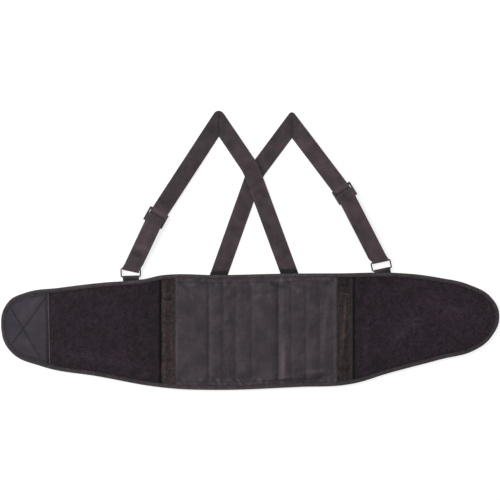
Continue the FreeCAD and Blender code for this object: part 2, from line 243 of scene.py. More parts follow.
def inset(distance):
    """The belt's edge moved into the belt."""
    return EDGE + inward(EDGE) * distance


def span(line, x):
    """The lower and upper Y of a closed line at each X."""
    left, right = line[:, 0].argmin(), line[:, 0].argmax()
    turned = np.roll(line, -left, axis=0)
    split = (right - left) % len(line)
    top, bottom = turned[:split + 1], np.vstack([turned[split:], turned[:1]])[::-1]
    return np.interp(x, bottom[:, 0], bottom[:, 1]), np.interp(x, top[:, 0], top[:, 1])


def belt_grid(name, x0, x1, distance, pitch):
    """A flat grid of cloth that fills the belt between two X values, this far inside its edge."""
    line = inset(distance)
    low_end, high_end = line[:, 0].min(), line[:, 0].max()
    left_tip, right_tip = x0 < low_end, x1 > high_end
    start = low_end + 0.2 * MM if left_tip else x0
    end = high_end - 0.2 * MM if right_tip else x1
    stretch = 1.57 if left_tip or right_tip else 1.0
    columns = int((end - start) / pitch * stretch)
    rows = int(215 * MM / pitch)
    bpy.ops.mesh.primitive_grid_add(x_subdivisions=columns, y_subdivisions=rows, size=1)
    cloth = bpy.context.object
    cloth.name = cloth.data.name = name
    points = coords(cloth)
    u, v = points[:, 0] + 0.5, points[:, 1] + 0.5
    if left_tip:
        u = 1 - np.cos(u * math.pi / 2)
    elif right_tip:
        u = np.sin(u * math.pi / 2)
    x = start + (end - start) * u
    low, high = span(line, x)
    set_coords(cloth, np.stack([x, low + (high - low) * v, np.zeros(len(x))], axis=1))
    return cloth


# ---- room for what is sewn under the belt --------------------------------------------------------

def mitred_edges(route, width):
    """The two edge lines of a strap along its route, with mitred corners."""
    runs = np.diff(route, axis=0)
    runs /= np.linalg.norm(runs, axis=1, keepdims=True)
    sides = []
    for hand in (1, -1):
        offset = np.stack([-runs[:, 1], runs[:, 0]], axis=1) * hand * width / 2
        line = [route[0] + offset[0]]
        for i in range(len(runs) - 1):
            bend = np.linalg.solve(np.stack([runs[i], -runs[i + 1]], axis=1),
                                   route[i + 1] + offset[i + 1] - route[i] - offset[i])
            line.append(route[i] + offset[i] + runs[i] * bend[0])
        line.append(route[-1] + offset[-1])
        sides.append(np.array(line))
    return sides, runs


def in_rectangle(x, y, middle, run, half_width, back, front):
    """How far outside a turned rectangle each point is, 0 inside it."""
    along, across = ahead_and_aside(x, y, middle, run)
    over = np.maximum(np.maximum(-back - along, along - front), np.abs(across) - half_width)
    return np.maximum(over, 0)


def room_below(x, y):
    """How far the belt's underside is pushed up by the strap ends and ring tabs sewn under it."""
    x, y = np.asarray(x, float), np.asarray(y, float)
    height = np.zeros(len(x))
    for side in ("left", "right"):
        route = STRAP_ROUTE[side]
        run = direction(route[0], route[1])
        over = in_rectangle(x, y, route[0], run, STRAP_WIDTH / 2 + 0.5 * MM, 32.5 * MM, 20 * MM)
        height = np.maximum(height, 1.45 * MM * (1 - ramp(over, 0, 5 * MM)))
        ring_x, turn = RING_PLACE[side]
        up = (-math.sin(turn), math.cos(turn))
        over = in_rectangle(x, y, (ring_x, fold_y(ring_x)), up, 16 * MM, 26.5 * MM, 10 * MM)
        height = np.maximum(height, 2.15 * MM * (1 - ramp(over, 0, 5 * MM)))
    return height


# ---- shader groups -------------------------------------------------------------------------------

def new_group(name, inputs, outputs):
    """An empty shader group with named sockets."""
    tree = bpy.data.node_groups.new(name, "ShaderNodeTree")
    for label, kind, value in inputs:
        socket = tree.interface.new_socket(name=label, in_out="INPUT", socket_type=kind)
        if value is not None:
            socket.default_value = value
    for label, kind in outputs:
        tree.interface.new_socket(name=label, in_out="OUTPUT", socket_type=kind)
    return tree, tree.nodes.new("NodeGroupInput").outputs, tree.nodes.new("NodeGroupOutput").inputs


def put(tree, kind, sockets=None, **settings):
    """Adds a node: settings are its properties, sockets its inputs as values or links."""
    made = tree.nodes.new(kind)
    for name, value in settings.items():
        setattr(made, name, value)
    for name, value in (sockets or {}).items():
        if isinstance(value, bpy.types.NodeSocket):
            tree.links.new(value, made.inputs[name])
        else:
            made.inputs[name].default_value = value
    return made


def maths(tree, operation, a, b=0.0, c=0.5, clamp=False):
    """One Math node; returns its output."""
    return put(tree, "ShaderNodeMath", {0: a, 1: b, 2: c}, operation=operation, use_clamp=clamp).outputs[0]


def times(tree, a, b):
    """The product of two values."""
    return maths(tree, "MULTIPLY", a, b)


def plus(tree, a, b):
    """The sum of two values."""
    return maths(tree, "ADD", a, b)


def wave(tree, along, length):
    """A sine along a coordinate with this wavelength."""
    return maths(tree, "SINE", times(tree, along, 2 * math.pi / length))


def mix_colour(tree, factor, a, b):
    """Mixes two colours; returns the output."""
    made = put(tree, "ShaderNodeMix", {0: factor, 6: a, 7: b}, data_type="RGBA")
    return made.outputs[2]


def crossed_threads_group():
    """Warp and weft: height of a plain weave, thread by thread, with uneven yarns."""
    tree, given, out = new_group(
        "crossed_threads",
        [("Vector", "NodeSocketVector", None), ("Threads per metre", "NodeSocketFloat", 1600.0),
         ("Unevenness", "NodeSocketFloat", 0.3)],
        [("Height", "NodeSocketFloat"), ("Yarn tone", "NodeSocketFloat")])
    uneven = put(tree, "ShaderNodeTexNoise", {"Vector": given["Vector"], "Scale": 260.0, "Detail": 2.0})
    shift = times(tree, uneven.outputs["Fac"], given["Unevenness"])
    parts = put(tree, "ShaderNodeSeparateXYZ", {0: given["Vector"]}).outputs
    turns = times(tree, given["Threads per metre"], math.pi)
    warp = maths(tree, "SINE", plus(tree, times(tree, parts[0], turns), shift))
    weft = maths(tree, "SINE", plus(tree, times(tree, parts[1], turns), shift))
    tree.links.new(maths(tree, "MULTIPLY_ADD", times(tree, warp, weft), 0.5, 0.5), out["Height"])
    streaks = put(tree, "ShaderNodeMapping", {"Vector": given["Vector"], "Scale": (900, 40, 40)})
    tone = put(tree, "ShaderNodeTexNoise", {"Vector": streaks.outputs[0], "Scale": 1.0, "Detail": 3.0})
    tree.links.new(tone.outputs["Fac"], out["Yarn tone"])
    return tree


def patchiness_group():
    """Slow changes of tone: handling marks and nap laid different ways."""
    tree, given, out = new_group(
        "patchiness",
        [("Vector", "NodeSocketVector", None), ("Patches per metre", "NodeSocketFloat", 40.0)],
        [("Patch", "NodeSocketFloat"), ("Fleck", "NodeSocketFloat")])
    large = put(tree, "ShaderNodeTexNoise",
                {"Vector": given["Vector"], "Scale": given["Patches per metre"], "Detail": 4.0,
                 "Roughness": 0.6})
    fine = put(tree, "ShaderNodeTexNoise",
               {"Vector": given["Vector"], "Scale": 420.0, "Detail": 5.0, "Roughness": 0.75})
    tree.links.new(large.outputs["Fac"], out["Patch"])
    tree.links.new(fine.outputs["Fac"], out["Fleck"])
    return tree


def nap_group():
    """Brushed pile: tufts, and the way they lie."""
    tree, given, out = new_group(
        "nap", [("Vector", "NodeSocketVector", None), ("Tufts per metre", "NodeSocketFloat", 700.0)],
        [("Height", "NodeSocketFloat"), ("Shade", "NodeSocketFloat")])
    bent = put(tree, "ShaderNodeTexNoise", {"Vector": given["Vector"], "Scale": 60.0, "Detail": 2.0})
    lean = put(tree, "ShaderNodeVectorMath", {0: bent.outputs["Color"], 1: (0.012, 0.012, 0.0)},
               operation="MULTIPLY")
    moved = put(tree, "ShaderNodeVectorMath", {0: given["Vector"], 1: lean.outputs[0]}, operation="ADD")
    tufts = put(tree, "ShaderNodeTexVoronoi", {"Vector": moved.outputs[0], "Scale": given["Tufts per metre"]})
    hairs = put(tree, "ShaderNodeTexNoise", {"Vector": moved.outputs[0], "Scale": 1300.0, "Detail": 4.0})
    height = plus(tree, times(tree, tufts.outputs["Distance"], 0.7),
                   times(tree, hairs.outputs["Fac"], 0.6))
    tree.links.new(height, out["Height"])
    tree.links.new(tufts.outputs["Color"], out["Shade"])
    return tree


def lint_group():
    """Sparse pale specks of lint."""
    tree, given, out = new_group(
        "lint", [("Vector", "NodeSocketVector", None), ("Specks per metre", "NodeSocketFloat", 90.0)],
        [("Speck", "NodeSocketFloat")])
    cells = put(tree, "ShaderNodeTexVoronoi", {"Vector": given["Vector"], "Scale": given["Specks per metre"]})
    near = maths(tree, "LESS_THAN", cells.outputs["Distance"], 0.045)
    tree.links.new(near, out["Speck"])
    return tree


CORD_PITCH = 2.1 * MM       # between the elastic cords of the webbing


def webbing_group():
    """Elastic webbing: cords along it, a herringbone across it and firm selvedges."""
    tree, given, out = new_group(
        "webbing_weave",
        [("UV", "NodeSocketVector", None), ("Width", "NodeSocketFloat", STRAP_WIDTH)],
        [("Height", "NodeSocketFloat"), ("Edge", "NodeSocketFloat"), ("Groove", "NodeSocketFloat")])
    parts = put(tree, "ShaderNodeSeparateXYZ", {0: given["UV"]}).outputs
    share = maths(tree, "DIVIDE", parts[1], given["Width"])
    middle = maths(tree, "ABSOLUTE", maths(tree, "SUBTRACT", share, 0.5))
    edge = put(tree, "ShaderNodeMapRange", {"Value": middle, "From Min": 0.36, "From Max": 0.44})
    cords = wave(tree, parts[1], CORD_PITCH)
    zigzag = maths(tree, "PINGPONG", parts[1], CORD_PITCH)
    picks = wave(tree, plus(tree, parts[0], zigzag), 1.4 * MM)
    height = plus(tree, times(tree, cords, 0.35), times(tree, picks, 0.3))
    tree.links.new(height, out["Height"])
    tree.links.new(edge.outputs[0], out["Edge"])
    tree.links.new(maths(tree, "LESS_THAN", cords, -0.72), out["Groove"])
    return tree


GROUPS = {
    "threads": crossed_threads_group(),
    "patches": patchiness_group(),
    "nap": nap_group(),
    "lint": lint_group(),
    "webbing": webbing_group(),
}


def place_group(tree, which, sockets):
    """Places a shader group in a material."""
    return put(tree, "ShaderNodeGroup", sockets, node_tree=GROUPS[which]).outputs


def patchy(tree, at, per_metre):
    """Slow and fine changes of tone."""
    return place_group(tree, "patches", {"Vector": at, "Patches per metre": per_metre})


def linted(tree, at, colour, share, lint_colour, per_metre=90.0):
    """Adds specks of lint to a colour."""
    lint = place_group(tree, "lint", {"Vector": at, "Specks per metre": per_metre})
    return mix_colour(tree, times(tree, lint["Speck"], share), colour, shade(lint_colour))


def folded(tree, colour, highlight_colour):
    """Paints shade into a colour in the folds and seams of a piece, and a painted highlight where the folds
    stand up, as the fold attribute says.
    """
    fold = put(tree, "ShaderNodeAttribute", attribute_name="fold").outputs["Fac"]
    deep = maths(tree, "MULTIPLY", fold, 0.85, clamp=True)
    high = maths(tree, "MULTIPLY", fold, -0.8, clamp=True)
    # painted highlight: a lighter colour where the fold attribute is below 0
    colour = mix_colour(tree, high, colour, shade(highlight_colour))
    # painted shade: near-black where the fold attribute is above 0
    return mix_colour(tree, deep, colour, shade((8, 6, 8)))


def shade(value):
    """An RGBA colour from 0-255 display values."""
    linear = [((c / 255 + 0.055) / 1.055) ** 2.4 if c > 10 else c / 255 / 12.92 for c in value]
    return (*linear, 1.0)


def shader_inputs(material):
    """The sockets of a material's shader."""
    return material.node_tree.nodes["Principled BSDF"].inputs


def new_material(name, roughness, sheen, specular):
    """A material with a Principled BSDF; returns it, its tree and the piece's own coordinates."""
    material = bpy.data.materials.new(name)
    material.use_nodes = True
    tree = material.node_tree
    sockets = shader_inputs(material)
    sockets["Roughness"].default_value = roughness
    sockets["Sheen Weight"].default_value = sheen
    sockets["Sheen Roughness"].default_value = 0.5
    sockets["Specular IOR Level"].default_value = specular
    return material, tree, put(tree, "ShaderNodeTexCoord").outputs["Object"]


def finished(material, colour, height, strength, distance):
    """Feeds a material its colour and the height of its relief; returns the material."""
    tree, sockets = material.node_tree, shader_inputs(material)
    made = put(tree, "ShaderNodeBump", {"Height": height, "Strength": strength, "Distance": distance})
    tree.links.new(made.outputs[0], sockets["Normal"])
    tree.links.new(colour, sockets["Base Color"])
    return material


def toned(tree, dark, light, patch, fleck, patch_share=0.6, spread=0.18):
    """A colour between dark and light that follows patches and flecks."""
    mixed = plus(tree, times(tree, patch, patch_share),
                  times(tree, fleck, 1 - patch_share))
    limits = {"From Min": 0.5 - spread, "From Max": 0.5 + spread}
    level = put(tree, "ShaderNodeMapRange", {"Value": mixed, **limits})
    return mix_colour(tree, level.outputs[0], shade(dark), shade(light))


def woven_cloth(name, dark, light, threads, depth, roughness, sheen, patches=30.0):
    """Plain-woven cloth."""
    material, tree, at = new_material(name, roughness, sheen, 0.2)
    weave = place_group(tree, "threads", {"Vector": at, "Threads per metre": threads})
    tone = patchy(tree, at, patches)
    colour = toned(tree, dark, light, tone["Patch"], weave["Yarn tone"], 0.7, 0.2)
    colour = linted(tree, at, colour, 0.25, (120, 115, 118))
    # painted shade and highlight from the fold attribute, the highlight a lighter tone of this cloth
    colour = folded(tree, colour, tuple(1.45 * c for c in light))
    height = plus(tree, weave["Height"], times(tree, tone["Fleck"], 0.8))
    return finished(material, colour, height, 0.6, depth)


def napped_cloth(name, dark, light, tufts, depth, sheen, patches=26.0):
    """Brushed loop pile."""
    material, tree, at = new_material(name, 0.95, sheen, 0.12)
    nap = place_group(tree, "nap", {"Vector": at, "Tufts per metre": tufts})
    tone = patchy(tree, at, patches)
    tuft = maths(tree, "MULTIPLY_ADD", nap["Shade"], 0.35, 0.32)
    speckled = plus(tree, times(tree, tone["Fleck"], 0.5),
                     times(tree, tuft, 0.5))
    colour = toned(tree, dark, light, tone["Patch"], speckled, 0.34, 0.14)
    colour = linted(tree, at, colour, 0.3, (110, 104, 108), 60.0)
    # painted shade and highlight from the fold attribute, the highlight a lighter tone of this cloth
    colour = folded(tree, colour, tuple(1.5 * c for c in light))
    return finished(material, colour, nap["Height"], 0.7, depth)


def ribbed_elastic(name):
    """Gusset elastic: fine cords up and down, shirred across."""
    material, tree, at = new_material(name, 0.8, 0.15, 0.2)
    parts = put(tree, "ShaderNodeSeparateXYZ", {0: at}).outputs
    cords = wave(tree, parts[0], 2.3 * MM)
    picks = wave(tree, parts[1], 1.2 * MM)
    tone = patchy(tree, at, 60.0)
    height = plus(tree, times(tree, cords, 0.6), times(tree, picks, 0.3))
    lifted = maths(tree, "MULTIPLY_ADD", cords, 0.25, 0.5)
    # the gusset's colour, with painted shade and highlight from the fold attribute; (96, 76, 76) is the
    # painted highlight
    colour = folded(tree, toned(tree, (25, 17, 18), (60, 46, 46), tone["Patch"], lifted, 0.5), (96, 76, 76))
    return finished(material, colour, height, 0.7, 0.0005)


def webbing_cloth(name, dark, light, width):
    """Elastic strap webbing or knitted binding, which follow their own length."""
    material, tree, at = new_material(name, 0.7, 0.2, 0.25)
    uv = put(tree, "ShaderNodeUVMap", uv_map="cloth").outputs[0]
    weave = place_group(tree, "webbing", {"UV": uv, "Width": width})
    tone = patchy(tree, at, 34.0)
    colour = toned(tree, dark, light, tone["Patch"], tone["Fleck"], 0.6)
    # painted shade in the grooves between the cords
    colour = mix_colour(tree, times(tree, weave["Groove"], 0.35), colour, shade((20, 16, 18)))
    colour = mix_colour(tree, times(tree, weave["Edge"], 0.25), colour, shade(light))
    # painted shade and highlight from the fold attribute, the highlight a lighter tone of this webbing
    colour = folded(tree, colour, tuple(1.4 * c for c in light))
    return finished(material, colour, weave["Height"], 0.6, 0.00035)


def hook_sheet(name):
    """Moulded hook tape: rows of tiny hooks on a smooth base."""
    material, tree, at = new_material(name, 0.5, 0.0, 0.35)
    parts = put(tree, "ShaderNodeSeparateXYZ", {0: at}).outputs
    rows, files = (maths(tree, "ABSOLUTE", wave(tree, part, pitch))
                   for part, pitch in ((parts[0], 1.6 * MM), (parts[1], 1.2 * MM)))
    hooks = maths(tree, "POWER", times(tree, rows, files), 1.5)
    tone = patchy(tree, at, 22.0)
    # the hook tape's colour, with painted shade and highlight from the fold attribute; (96, 88, 98) is the
    # painted highlight
    colour = folded(tree, toned(tree, (38, 31, 41), (67, 57, 72), tone["Patch"], hooks, 0.55), (96, 88, 98))
    return finished(material, colour, hooks, 0.6, 0.0006)


def moulded_plastic(name, colour, light, roughness):
    """Injection-moulded plastic with a fine grain and rubbed patches."""
    material, tree, at = new_material(name, roughness, 0.0, 0.45)
    tone = patchy(tree, at, 120.0)
    colour = toned(tree, colour, light, tone["Patch"], tone["Fleck"], 0.7)
    rough = put(tree, "ShaderNodeMapRange", {"Value": tone["Patch"], "To Min": roughness - 0.1,
                                             "To Max": roughness + 0.15})
    tree.links.new(rough.outputs[0], shader_inputs(material)["Roughness"])
    return finished(material, colour, tone["Fleck"], 0.25, 0.0001)


def coated_wire(name):
    """Black-coated steel wire, a little worn."""
    material, tree, at = new_material(name, 0.38, 0.0, 0.3)
    tone = patchy(tree, at, 160.0)
    colour = toned(tree, (14, 13, 15), (34, 32, 34), tone["Patch"], tone["Fleck"], 0.5)
    worn = put(tree, "ShaderNodeMapRange", {"Value": tone["Patch"], "From Min": 0.70, "From Max": 0.76})
    colour = mix_colour(tree, worn.outputs[0], colour, shade((130, 128, 128)))
    tree.links.new(worn.outputs[0], shader_inputs(material)["Metallic"])
    return finished(material, colour, tone["Fleck"], 0.2, 0.0001)


def open_cell_foam(name):
    """Charcoal foam with open cells."""
    material, tree, at = new_material(name, 0.95, 0.0, 0.2)
    cells = put(tree, "ShaderNodeTexVoronoi", {"Vector": at, "Scale": 900.0})
    # darker towards each cell's middle: painted shade in the open pores
    colour = mix_colour(tree, cells.outputs["Distance"], shade((28, 28, 29)), shade((70, 70, 71)))
    return finished(material, colour, cells.outputs["Distance"], 0.8, 0.0006)


def sewing_thread(name, colour):
    """Twisted polyester thread."""
    material, tree, at = new_material(name, 0.6, 0.1, 0.3)
    twist = put(tree, "ShaderNodeTexWave", {"Vector": at, "Scale": 700.0, "Distortion": 2.0})
    lighter = tuple(min(255, c + 22) for c in colour)
    twist = twist.outputs["Fac"]
    return finished(material, mix_colour(tree, twist, shade(colour), shade(lighter)), twist, 0.4, 0.0001)


FINISH = {
    "inner_nylon": woven_cloth("inner_nylon", (39, 32, 37), (68, 59, 66), 1500.0, 0.0003, 0.72, 0.25),
    "pile_fabric": napped_cloth("pile_fabric", (19, 12, 18), (54, 43, 52), 420.0, 0.0016, 0.15, 105.0),
    "outer_loop_fabric": napped_cloth("outer_loop_fabric", (22, 18, 21), (44, 38, 42), 900.0, 0.0007, 0.1),
    "lining": woven_cloth("channel_lining", (40, 36, 40), (60, 55, 58), 1100.0, 0.0003, 0.85, 0.1),
    "foam": open_cell_foam("foam"),
    "elastic_gusset": ribbed_elastic("elastic_gusset"),
    "strap_webbing": webbing_cloth("strap_webbing", (39, 30, 35), (73, 60, 65), STRAP_WIDTH),
    "binding_tape": webbing_cloth("binding_tape", (46, 37, 43), (80, 68, 75), 20 * MM),
    "hook_tape": hook_sheet("hook_tape"),
    "slider_plastic": moulded_plastic("slider_plastic", (34, 33, 34), (56, 54, 55), 0.4),
    "stay_plastic": moulded_plastic("stay_plastic", (205, 204, 198), (228, 227, 222), 0.45),
    "ring_metal": coated_wire("ring_metal"),
}
DARK_THREAD = sewing_thread("dark_thread", (22, 18, 21))
PALE_THREAD = sewing_thread("pale_thread", (84, 76, 82))


def recolour(node, finish):
    """Gives an object its only material."""
    node.data.materials.clear()
    node.data.materials.append(FINISH[finish])


def dress(piece, slot):
    """Gives a piece its finish."""
    recolour(piece, slot)


# ---- cloth that fills out between its seams ------------------------------------------------------

def fill_out(cloth, held, pressure, spare, cap, stiffness=8.0, bending=0.3):
    """Lets sewn cloth fill out and wrinkle between its seams, no further than a cap."""
    before = coords(cloth)
    group = cloth.vertex_groups.new(name="sewn_down")
    group.add([int(i) for i in np.flatnonzero(held)], 1.0, "REPLACE")
    modifier = cloth.modifiers.new("Cloth", "CLOTH")
    settings = modifier.settings
    settings.vertex_group_mass = "sewn_down"
    settings.quality = 6
    settings.mass = 0.25
    settings.tension_stiffness = settings.compression_stiffness = stiffness
    settings.shear_stiffness = stiffness / 2
    settings.bending_stiffness = bending
    settings.shrink_min = -spare
    settings.use_pressure = True
    settings.uniform_pressure_force = pressure
    settings.effector_weights.gravity = 0
    modifier.collision_settings.use_collision = False
    modifier.point_cache.frame_start, modifier.point_cache.frame_end = 1, 20
    scene = bpy.context.scene
    for step in range(1, 21):
        scene.frame_set(step)
    make_active(cloth)
    bpy.ops.object.modifier_apply(modifier=modifier.name)
    scene.frame_set(1)
    after = coords(cloth)
    moved = after - before
    flat = np.clip(moved[:, :2], -cap / 2, cap / 2)
    height = np.clip(moved[:, 2], -cap, cap)
    set_coords(cloth, before + np.column_stack([flat, height]))
    cloth.vertex_groups.clear()


def thicken(cloth, thickness):
    """Gives cloth its thickness, downwards from its face."""
    add_modifier(cloth, "SOLIDIFY", thickness=thickness, offset=-1.0)


def wing_blend(piece):
    """Bakes a piece's placement into its mesh."""
    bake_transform(piece)


# ---- underside, foam and inner faces -------------------------------------------------------------

def zone_ends(side):
    """The X values between which a side and its wing lie."""
    if side == "left":
        return -PAST_THE_TIPS, LEFT_GUSSET[0] - 0.1 * MM
    return RIGHT_GUSSET[1] + 0.1 * MM, PAST_THE_TIPS


PANEL_ENDS = (LEFT_GUSSET[1] + 0.1 * MM, RIGHT_GUSSET[0] - 0.1 * MM)
SEAM_LAP = 0.9 * MM         # how far each face laps over the edge of a gusset


def outer_fabric(name, x0, x1):
    """The loop fabric of the outer face, pushed up where straps are sewn under it."""
    lapped = (x0 - SEAM_LAP * (x0 > -TIP), x1 + SEAM_LAP * (x1 < TIP))
    cloth = belt_grid(name, *lapped, COVER_INSET, 4 * MM)
    points = coords(cloth)
    ripple = 0.12 * MM * (1 + soft_noise(points[:, 0], points[:, 1], 30 * MM, 3.0))
    points[:, 2] = room_below(points[:, 0], points[:, 1]) + 0.9 * MM
    set_coords(cloth, points)
    thicken(cloth, 0.8 * MM)
    points = coords(cloth)
    points[:, 2] += np.where(points[:, 2] < 0.5 * MM, np.concatenate([ripple, ripple])[:len(points)] * 0.5, 0)
    set_coords(cloth, points)
    smooth_shading(cloth)
    dress(cloth, "outer_loop_fabric")
    return cloth


def foam_core(name, x0, x1):
    """Foam between the two faces, running into the fold of the binding."""
    core = belt_grid(name, x0, x1, CORE_INSET, 5 * MM)
    points = coords(core)
    points[:, 2] = 3.32 * MM
    set_coords(core, points)
    thicken(core, 2.27 * MM)
    points = coords(core)
    low = points[:, 2] < 2 * MM
    points[low, 2] = np.minimum(room_below(points[low, 0], points[low, 1]) + 1.05 * MM, 3.2 * MM)
    set_coords(core, points)
    smooth_shading(core)
    dress(core, "foam")
    return core


def edge_distance(at, low, high):
    """Distance to the nearer of two ends."""
    return np.minimum(at - low, high - at)


def creases(x, y, marks):
    """Sum of soft folds: each has its middle, direction in degrees, length, width and height."""
    height = np.zeros(len(x))
    for mx, my, degrees, length, width, rise in marks:
        turn = math.radians(degrees)
        along, across = ahead_and_aside(x, y, (mx * MM, my * MM), (math.cos(turn), math.sin(turn)))
        height += rise * MM * np.exp(-(along / (length * MM)) ** 2 * 2 - (across / (width * MM)) ** 2 * 2)
    return height


PILE_FOLDS = {
    "left": [(-190, -72, 80, 26, 9, -0.6), (-205, -250, 15, 40, 7, 0.7), (-240, -228, -12, 60, 16, 0.6),
             (-330, -210, -8, 70, 20, 0.5), (-420, -120, 60, 60, 18, 0.4)],
    "right": [(222, -90, 75, 50, 8, -0.6), (232, -190, 88, 90, 9, 0.6), (260, -225, 20, 60, 9, -0.6),
              (310, -160, 35, 70, 20, 0.5), (400, -120, -20, 80, 22, 0.4), (280, -64, 2, 50, 7, -0.5)],
}


def pile_face(side):
    """The brushed inner face of a side and its wing."""
    x0, x1 = zone_ends(side)
    if side == "left":
        x1 += SEAM_LAP
    else:
        x0 -= SEAM_LAP
    cloth = belt_grid(f"{side}_pile_face", x0, x1, COVER_INSET - 0.3 * MM, 3.2 * MM)
    points = coords(cloth)
    x, y = points[:, 0], points[:, 1]
    inner_end = x1 if side == "left" else x0
    to_gusset = np.abs(x - inner_end)
    low, high = span(inset(COVER_INSET), x)
    to_edge = np.maximum(edge_distance(y, low, high), 0)
    points[:, 2] = 4.5 * MM + 0.25 * MM * soft_noise(x, y, 45 * MM, 7.0)
    points[:, 2] += 0.12 * MM * soft_noise(x, y, 12 * MM, 2.0)
    set_coords(cloth, points)
    held = (to_edge < 2.5 * MM) | (to_gusset < 2.5 * MM) | (np.abs(x) > TIP - 4 * MM)
    fill_out(cloth, held, 0.6, 0.008, 0.9 * MM)
    points = coords(cloth)
    points[:, 2] += creases(x, y, PILE_FOLDS[side])
    points[:, 2] -= 0.45 * MM * (1 - ramp(to_edge, 0, 6 * MM)) + 0.7 * MM * (1 - ramp(to_gusset, 0, 4 * MM))
    points[:, 2] = np.clip(points[:, 2], 4.25 * MM, 6.5 * MM)
    patch = (side == "left") * (1 - ramp(x, HOOK_PATCH_END + 4 * MM, HOOK_PATCH_END + 14 * MM))
    points[:, 2] = np.where(patch > 0, np.minimum(points[:, 2], 6.5 * MM - 1.95 * MM * patch), points[:, 2])
    set_coords(cloth, points)
    # Painted shade in the gaps beside the gusset and along the edges, random tone, a darker left side and a
    # darker stretch towards the gusset, and painted shade and highlight along the creases.
    folds = 0.95 * (1 - ramp(to_gusset, 2.5 * MM, 6.5 * MM)) + 0.35 * (1 - ramp(to_edge, 1 * MM, 5 * MM))
    folds += 0.09 * soft_noise(x, y, 22 * MM, 21.0) + 0.32 * soft_noise(x, y, 5 * MM, 8.0)
    folds += (0.13 if side == "left" else 0.02) + 0.14 * (1 - ramp(to_gusset, 15 * MM, 90 * MM))
    paint_fold_shading(cloth, folds - 0.5 / MM * creases(x, y, PILE_FOLDS[side]))
    finish_sheet(cloth, 0.8 * MM, 3.42 * MM, "pile_fabric")
    return cloth


PANEL_FOLDS = [
    (-128, -76, -40, 20, 5, -0.9), (-112, -68, 20, 16, 5, 0.7), (-118, -88, -70, 14, 4, 0.6),
    (52, -70, -15, 30, 5, -1.1), (60, -62, 5, 24, 4, 0.8), (34, -84, 10, 26, 6, -0.8),
    (18, -90, 30, 22, 6, 0.7),
    (92, -78, -30, 20, 5, 0.6), (112, -74, -20, 18, 5, -0.6),
    (140, -252, 12, 34, 5, -0.9), (124, -243, 4, 30, 5, 0.8), (84, -262, -5, 34, 4, -0.8),
    (66, -254, 8, 28, 4, 0.7), (66, -225, 88, 48, 5, 1.0), (74, -222, 88, 44, 3, -0.7),
    (-150, -200, 85, 60, 6, 0.6), (-20, -262, 3, 60, 5, 0.5), (150, -150, 85, 80, 6, 0.5),
    (4, -262, 60, 14, 4, 0.6), (-60, -263, -50, 16, 4, 0.5), (20, -72, 60, 14, 4, 0.5),
]


SEAM_DEPTHS = (0.45, 0.2, 0.36, 0.2, 1.0, 0.15, 0.3, 0.2)


def stay_cover(x, y):
    """1 over a stay and 0 clear of it."""
    over = np.zeros(len(x))
    for middle in STAY_X:
        beside = np.abs(x - middle) - 9 * MM
        beyond = np.abs(y - STAY_MIDDLE_Y) - STAY_LENGTH / 2
        over = np.maximum(over, 1 - ramp(np.maximum(beside, beyond), 0.5 * MM, 3.5 * MM))
    return over


